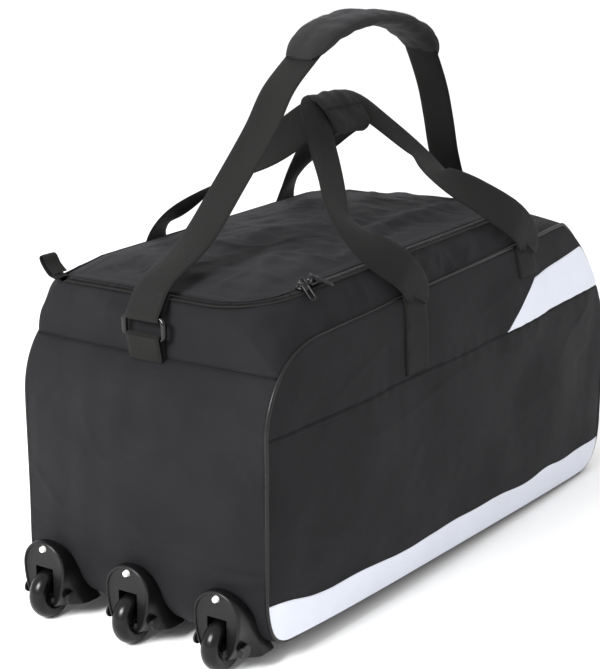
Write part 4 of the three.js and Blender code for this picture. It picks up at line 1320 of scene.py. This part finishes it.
def build_pad():
    """The shoulder pad: a quilted body with a bound edge."""
    path = pad_path(110)
    t = tangents(path)
    n = unit(np.cross([0, 1, 0], t))
    n = np.where(n[:, 2:] < 0, -n, n)
    share = np.linspace(-1, 1, len(path))
    width = PAD_WIDTH / 2 * (1 - np.clip((np.abs(share) - 0.72) / 0.28, 0, 1) ** 2.2 * 0.42)
    thick = PAD_THICK / 2 * np.sqrt(np.maximum(1 - np.abs(share) ** 8, 0.02))
    angles = np.linspace(0, 2 * np.pi, 48, endpoint=False)
    ca, sa = squared(np.cos(angles), 0.8), squared(np.sin(angles), 0.75)
    grid = path[:, None] + np.array([0, 1, 0]) * (width[:, None] * ca[None])[..., None]
    grid = grid + n[:, None] * (thick[:, None] * sa[None])[..., None]
    channel = 1.3 * np.exp(-(((ca[None] * width[:, None]) / 3) ** 2)) * (np.abs(share)[:, None] < 0.92)
    grid -= n[:, None] * (np.sign(sa)[None] * channel)[..., None]
    grid += n[:, None] * waves(grid, (0.8, 81, 60), (0.4, 82, 24))[..., None]
    cloth = Cloth()
    cloth.sleeve(grid, flat_uv(run_along(path)[:, None], angles[None] * 18))
    for sign in (-1, 1):
        bead = path + np.array([0, sign, 0]) * (width - 0.4)[:, None]
        tube(cloth, bead, 1.5, 8)
        seam = path + np.array([0, sign, 0]) * (width - 7)[:, None] + n * (thick * 0.86)[:, None]
        stitches(cloth, seam[6:-6], n[6:-6], slot=1)
    obj = cloth.make("shoulder_pad_cover", [MAT["padding"], MAT["thread"]])
    attach(obj, "shoulder_strap", "padding", "shoulder_pad")


build_pad()


# ---------- loop tab and grab handle ----------


TAB_SHIFT = 8  # keeps the loop out of the lid's way


def build_tabs():
    at = np.array([OPEN_FRONT - TAB_SHIFT, OPEN_HALF - ZIP_HALF, float(opening_z(OPEN_FRONT)) + 3])
    shape = ((-4, 1), (6, 4.5), (15, 14), (20, 23), (18, 27.5), (13.5, 25), (8, 16), (-2, 7))
    path = curve([at + [0, out, rise] for out, rise in shape], 50)
    cloth = ribbon(path, np.broadcast_to([1, 0, 0], path.shape), width=25, thickness=1.6, columns=7)
    attach(cloth.make("zip_end_loop", [MAT["webbing"]]), "bag", "webbing", "loop_tab")

    z = REAR_STRAIGHT + 10
    surface = REAR + 0.65 * REAR_CROWN
    shape = ((-85, 1), (-67, 8), (-30, 30), (0, 34), (30, 30), (67, 8), (85, 1))
    path = curve([(surface + d, y, z) for y, d in shape], 60)
    cloth = ribbon(path, np.broadcast_to([0, 0, 1], path.shape), width=40)
    attach(cloth.make("grab_strap", [MAT["webbing"]]), "bag", "webbing", "grab_handle")


build_tabs()


# ---------- seam threads on the shell ----------


def seam_threads():
    cloth = Cloth()
    for sign in (-1, 1):
        xs = np.linspace(FRONT + 14, REAR - 24, 300)
        for drop in (4, 9):
            line = side_point(xs, seam_at(xs) - drop, sign, 0.5)
            stitches(cloth, line, np.broadcast_to([0, sign, 0.0], line.shape))
    row = front_grid[-1]
    normal = np.broadcast_to([-1.0, 0, 0.25], row.shape)
    for back in (2, 4):
        stitches(cloth, front_grid[-back][2:-2] + [-0.5, 0, 0.1], normal[2:-2])
    around = ring_grid[-4]
    outward = unit((ring_grid[-8] - ring_grid[-3]) * [1, 1, 0] + [0, 0, 18])
    stitches(cloth, around + outward * 0.6, outward)
    obj = cloth.make("seam_threads", [MAT["thread"]])
    attach(obj, "bag", "fabric")


seam_threads()


# ---------- wheels and their housings ----------

HOUSING_R = 34
HOUSING_TOP = 104
HOUSING_LOW = 20
HOUSING_FRONT = -11
HOUSING_BACK = 52
SLOT_HALF = WHEEL_W / 2 + 2.5
SLOT_TOP = 69
FACE_Z = HOUSING_TOP - HOUSING_R
# The raised rim of the housing's face, as distances behind it and insets.
HOUSING_RIM = (
    (1.4, 14.0), (1.4, 6.0), (1.1, 4.6), (-0.5, 3.9), (-1.0, 2.8), (-0.6, 1.4), (0.7, 0.4), (2.6, 0.0)
)  # fmt: skip


def face_outline(inset=0.0, flare=0.0, count=40):
    """The housing seen from ahead, (y, z): a round head on cheeks that narrow, or flare out, below it."""
    radius = HOUSING_R - inset
    turn = np.linspace(0, np.pi, count)
    head = np.column_stack([radius * np.cos(turn), FACE_Z + radius * np.sin(turn)])
    drop = np.linspace(FACE_Z, HOUSING_LOW + 0.8 * inset, 14)[1:]
    share = (FACE_Z - drop) / (FACE_Z - HOUSING_LOW)
    round_side = radius * np.sqrt(1 - (share * 0.86) ** 2)
    skirt = radius + 9 * share**2
    flank = round_side + (skirt - round_side) * flare
    right = np.column_stack([flank, drop])[::-1]
    left = np.column_stack([-flank, drop])
    return np.vstack([right, head, left])


def top_share(x):
    """How much of the front face's height is left at x behind it."""
    past = np.clip((x - 2) / (HOUSING_BACK - 2), 0, 1)
    return 1 - 0.5 * past - 0.24 * past**4


def housing_solid(name, y0):
    """A closed body: front face with a raised rim, then the cheeks and the back."""
    middle = [(x, 0.0) for x in np.arange(6, 56, 5.0)]
    profile = [*HOUSING_RIM, *middle, (58, 0.6), (61, 2.0), (HOUSING_BACK - HOUSING_FRONT, 6.0), (63, 14.0)]
    rings = []
    for behind, inset in profile:
        ring = face_outline(inset, flare=float(smoothstep(2, 34, behind)))
        x = HOUSING_FRONT + behind
        z = HOUSING_LOW + (ring[:, 1] - HOUSING_LOW) * top_share(x)
        rings.append(np.column_stack([np.full(len(ring), WHEEL_X + x), y0 + ring[:, 0], z]))
    grid = np.array(rings)
    cloth = Cloth()
    around = run_along(grid[8])
    along = np.cumsum([0] + [abs(b[0] - a[0]) + abs(b[1] - a[1]) for a, b in zip(profile, profile[1:])])
    cloth.sleeve(grid, flat_uv(along[:, None], around[None]))
    return cloth.make(name, [MAT["housing"]])


def cutter(name, y0):
    """The wheel's room: a round well with a straight mouth in front, open below."""
    turn = np.linspace(0, np.pi / 2, 20)
    radius = SLOT_TOP - WHEEL_R
    arc = np.column_stack([WHEEL_X + radius * np.cos(turn), WHEEL_R + radius * np.sin(turn)])
    low = -20.0
    far = WHEEL_X + HOUSING_FRONT - 30
    side = [(WHEEL_X + radius, low), *arc.tolist(), (far, SLOT_TOP), (far, low)]
    loop = np.array(side)
    grid = np.array([[(x, y0 + v, z) for x, z in loop] for v in (-SLOT_HALF, SLOT_HALF)])
    cloth = Cloth()
    cloth.sleeve(grid, np.zeros((*grid.shape[:2], 2)))
    return cloth.make(name, [MAT["housing"]])


def outward_faces(mesh):
    work = bmesh.new()
    work.from_mesh(mesh)
    bmesh.ops.recalc_face_normals(work, faces=work.faces)
    if work.calc_volume(signed=True) < 0:
        bmesh.ops.reverse_faces(work, faces=work.faces)
    work.to_mesh(mesh)
    work.free()


def cut(obj, tool, bevel):
    """Cut the tool out of the object and round the new edges."""
    for each in (obj, tool):
        outward_faces(each.data)
    boolean = obj.modifiers.new("cut", "BOOLEAN")
    boolean.operation = "DIFFERENCE"
    boolean.object = tool
    boolean.solver = "EXACT"
    boolean.use_self = True
    edges = obj.modifiers.new("edges", "BEVEL")
    edges.width = bevel * MM
    edges.segments = 3
    edges.limit_method = "ANGLE"
    edges.angle_limit = math.radians(50)
    edges.harden_normals = True
    bpy.context.view_layer.update()
    graph = bpy.context.evaluated_depsgraph_get()
    mesh = bpy.data.meshes.new_from_object(obj.evaluated_get(graph))
    obj.modifiers.clear()
    obj.data = mesh
    bpy.data.objects.remove(tool)


def lathe(cloth, profile, y0, sides=96):
    """Turn (radius, y) points round the wheel's axle."""
    angles = np.linspace(0, 2 * np.pi, sides, endpoint=False)
    grid = np.array([
        np.column_stack([WHEEL_X + r * np.cos(angles), np.full(sides, y0 + v), WHEEL_R + r * np.sin(angles)])
        for r, v in profile
    ])
    run = run_along(np.array([[r, v, 0] for r, v in profile]))
    cloth.sleeve(grid, flat_uv(run[:, None], angles[None] * 20))


def wheel_profile():
    """A round, thick tyre on a dished hub."""
    half = WHEEL_W / 2
    turn = np.linspace(-1.25, 1.25, 27)
    tyre = [(WHEEL_R - half + half * math.cos(t) ** 0.8, half * math.sin(t) / math.sin(1.25)) for t in turn]
    hub = ((3.0, 2.2), (7.0, 2.2), (8.0, 3.6), (15.0, 4.2), (17.5, 1.0))
    left = [(r, -half + depth) for r, depth in hub]
    right = [(r, -v) for r, v in reversed(left)]
    return [*left, (20.0, -half + 0.1), *tyre, (20.0, half - 0.1), *right]


def build_wheels():
    for index, y0 in enumerate(WHEEL_YS, 1):
        obj = housing_solid(f"wheel_housing_{index}", y0)
        cut(obj, cutter("tool", y0), 0.9)
        attach(obj, "bag", "housing", f"housing_{index}")
        cloth = Cloth()
        lathe(cloth, wheel_profile(), y0)
        tyre = cloth.make(f"tyre_{index}", [MAT["tyre"]])
        outward_faces(tyre.data)
        attach(tyre, f"wheel_{index}", "tyre", f"wheel_{index}")


build_wheels()


# ---------- sliders and pulls ----------

SLIDER_SPACE = 18
SLIDER_LENGTH = 17
PULL_LENGTH = 30
PULL_HALF = 5.2
HINGE_HEIGHT = 14.8


def slider_places():
    """For each slider: its place on the zip, its heading, its up direction and the way its pull hangs."""
    near_x = FRONT_JOIN + SLIDER_SPACE / 2
    near = np.array([near_x, -OPEN_HALF, float(opening_z(near_x))])
    tilt = math.atan2(FRONT_DROP, OPEN_RADIUS)
    start = SLIDER_SPACE / 2 / OPEN_RADIUS
    along = np.array([math.cos(tilt), 0, math.sin(tilt)])
    up = np.array([-math.sin(tilt), 0, math.cos(tilt)])
    out = np.array([0, -math.cos(start), 0]) - along * math.sin(start)
    middle = np.array([FRONT_JOIN, OPEN_RADIUS - OPEN_HALF, float(opening_z(FRONT_JOIN))])
    hang = unit(out * 0.66 + [0, 0, -0.72])
    return {
        "near": (near, np.array([1.0, 0, 0]), np.array([0, 0, 1.0]), unit(np.array([0.6, -0.66, -0.45]))),
        "front": (middle + out * OPEN_RADIUS, unit(np.cross(out, up)), up, hang),
    }


def build_slider(label, at, heading, up):
    side = np.cross(up, heading)
    s = np.linspace(-1, 1, 17)
    width = 5.6 * (1 - np.abs(s) ** 7) ** 0.4 * (1 - 0.16 * s) + 0.3
    height = 2.5 * (1 - np.abs(s) ** 8) ** 0.4 + 0.2
    turn = np.linspace(0, 2 * np.pi, 28, endpoint=False)
    c, v = squared(np.cos(turn), 0.55), squared(np.sin(turn), 0.55)
    grid = at + (s * SLIDER_LENGTH / 2)[:, None, None] * heading
    grid = grid + (width[:, None] * c[None])[..., None] * side
    grid = grid + (5.6 + height[:, None] * v[None])[..., None] * up
    cloth = Cloth()
    cloth.sleeve(grid, np.zeros((*grid.shape[:2], 2)))
    arch = ((-6.2, 7.0), (-5.8, 10.5), (-3, 13.4), (1, 14.6), (4.6, 13.2), (5.6, 10.2), (5.8, 7.0))
    bridge = curve([at + heading * a + up * h for a, h in arch], 30)
    for offset in (-0.9, 0, 0.9):
        tube(cloth, bridge + side * offset, 1.0, 10, normal=side)
    obj = cloth.make(f"slider_body_{label}", [MAT["gloss"]])
    outward_faces(obj.data)
    attach(obj, f"{label}_slider", "gloss_black", f"slider_{label}")


def build_pull(label, at, up, down):
    """A frame of round bar: a neck hooked on the slider's bridge, and a long window below it."""
    side = unit(np.cross(up, down))
    top = at + up * HINGE_HEIGHT
    face = np.cross(side, down)

    def loop(low, high, half, corner):
        turn = np.linspace(0, np.pi / 2, 7)
        arc = corner * np.column_stack([np.cos(turn), np.sin(turn)])
        quarter = np.array([half - corner, high - corner]) + arc
        points = np.vstack([quarter, quarter[::-1] * [-1, 1]])
        lower = points[::-1] * [1, -1] + [0, low + high]
        full = np.vstack([points, lower])
        return resample(np.array([top + side * a + down * b for a, b in [*full, full[0]]]), 60)[:-1]

    cloth = Cloth()
    neck = loop(-1.4, 8.0, 3.4, 2.4)
    window = loop(6.0, PULL_LENGTH - 1.4, PULL_HALF - 1.4, 2.6)
    for rise in (-0.5, 0.5):
        for bar in (neck, window):
            tube(cloth, bar + face * rise, 1.15, closed=True, normal=face)
    across, below = np.linspace(-3.6, 3.6, 5), np.linspace(7, 15, 5)
    grip = np.array([[top + side * a + down * b for a in across] for b in below])
    for rise, flip in ((-0.8, True), (0.8, False)):
        cloth.patch(grip + face * rise, np.zeros((5, 5, 2)), flip=flip)
    obj = cloth.make(f"pull_frame_{label}", [MAT["gloss"]])
    attach(obj, f"{label}_pull", "gloss_black", f"pull_{label}")


for label, (at, heading, up, down) in slider_places().items():
    build_slider(label, at, heading, up)
    build_pull(label, at, up, down)


# ---------- finishes of the CAD nodes that stay ----------


def dress(node, material):
    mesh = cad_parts[node].data
    mesh.materials.clear()
    mesh.materials.append(MAT[material])


for index in (1, 2, 3):
    dress(f"axle_{index}", "housing")
    dress(f"rivet_{index}", "rivet")
dress("base_board", "board")


# ---------- floor, light and camera ----------


FLOOR_HALF = 14
FLOOR_TONES = (0.92, 0.94)
WORLD_STRENGTH = 1.12
KEY_POWER = 260
FILL_POWER = 2


def build_stage():
    mesh = bpy.data.meshes.new("floor")
    corners = [(x * FLOOR_HALF, y * FLOOR_HALF, 0) for x, y in ((-1, -1), (1, -1), (1, 1), (-1, 1))]
    mesh.from_pydata(corners, [], [(0, 1, 2, 3)])
    floor = bpy.data.objects.new("floor", mesh)
    bpy.context.scene.collection.objects.link(floor)
    paint = Paint("floor", Roughness=0.9, Specular_IOR_Level=0.1)
    dark, light = ((tone,) * 3 for tone in FLOOR_TONES)
    paint.tint(dark, light, paint.noise(400, 2))
    mesh.materials.append(paint.material)


def add_light(name, at, aim, size, power):
    data = bpy.data.lights.new(name, "AREA")
    data.shape = "RECTANGLE"
    data.size, data.size_y = size
    data.energy = power
    light = bpy.data.objects.new(name, data)
    light.location = at
    light.rotation_euler = (Vector(aim) - Vector(at)).to_track_quat("-Z", "Y").to_euler()
    bpy.context.scene.collection.objects.link(light)


def build_lights():
    world = bpy.data.worlds.new("studio")
    bpy.context.scene.world = world
    world.use_nodes = True
    background = world.node_tree.nodes["Background"]
    background.inputs[0].default_value = (1, 1, 1, 1)
    background.inputs[1].default_value = WORLD_STRENGTH
    add_light("key", (-3.4, 0.4, 2.2), (0, 0, 0.3), (1.6, 1.2), KEY_POWER)
    add_light("top", (0.2, 0.3, 2.8), (0, 0, 0.3), (2.0, 2.0), FILL_POWER)
    add_light("rim", (1.8, 2.0, 1.8), (0, 0, 0.4), (1.4, 1.4), FILL_POWER)


CAMERA_AT = (-2.006, -1.304, 0.9405)
CAMERA_WAY = (0.79503, 0.54625, -0.26372)
CAMERA_LENS = 106.17


def build_look():
    """Plain colours, with no film curve, so that white stays white."""
    view = bpy.context.scene.view_settings
    view.view_transform = "Standard"
    view.look = "None"
    view.exposure = 0
    view.gamma = 1


def build_camera():
    data = bpy.data.cameras.new("camera")
    data.sensor_fit = "HORIZONTAL"
    data.sensor_width = 36
    data.lens = CAMERA_LENS
    camera = bpy.data.objects.new("camera", data)
    camera.location = CAMERA_AT
    camera.rotation_euler = Vector(CAMERA_WAY).to_track_quat("-Z", "Y").to_euler()
    bpy.context.scene.collection.objects.link(camera)
    bpy.context.scene.camera = camera


build_stage()
build_lights()
build_camera()
build_look()
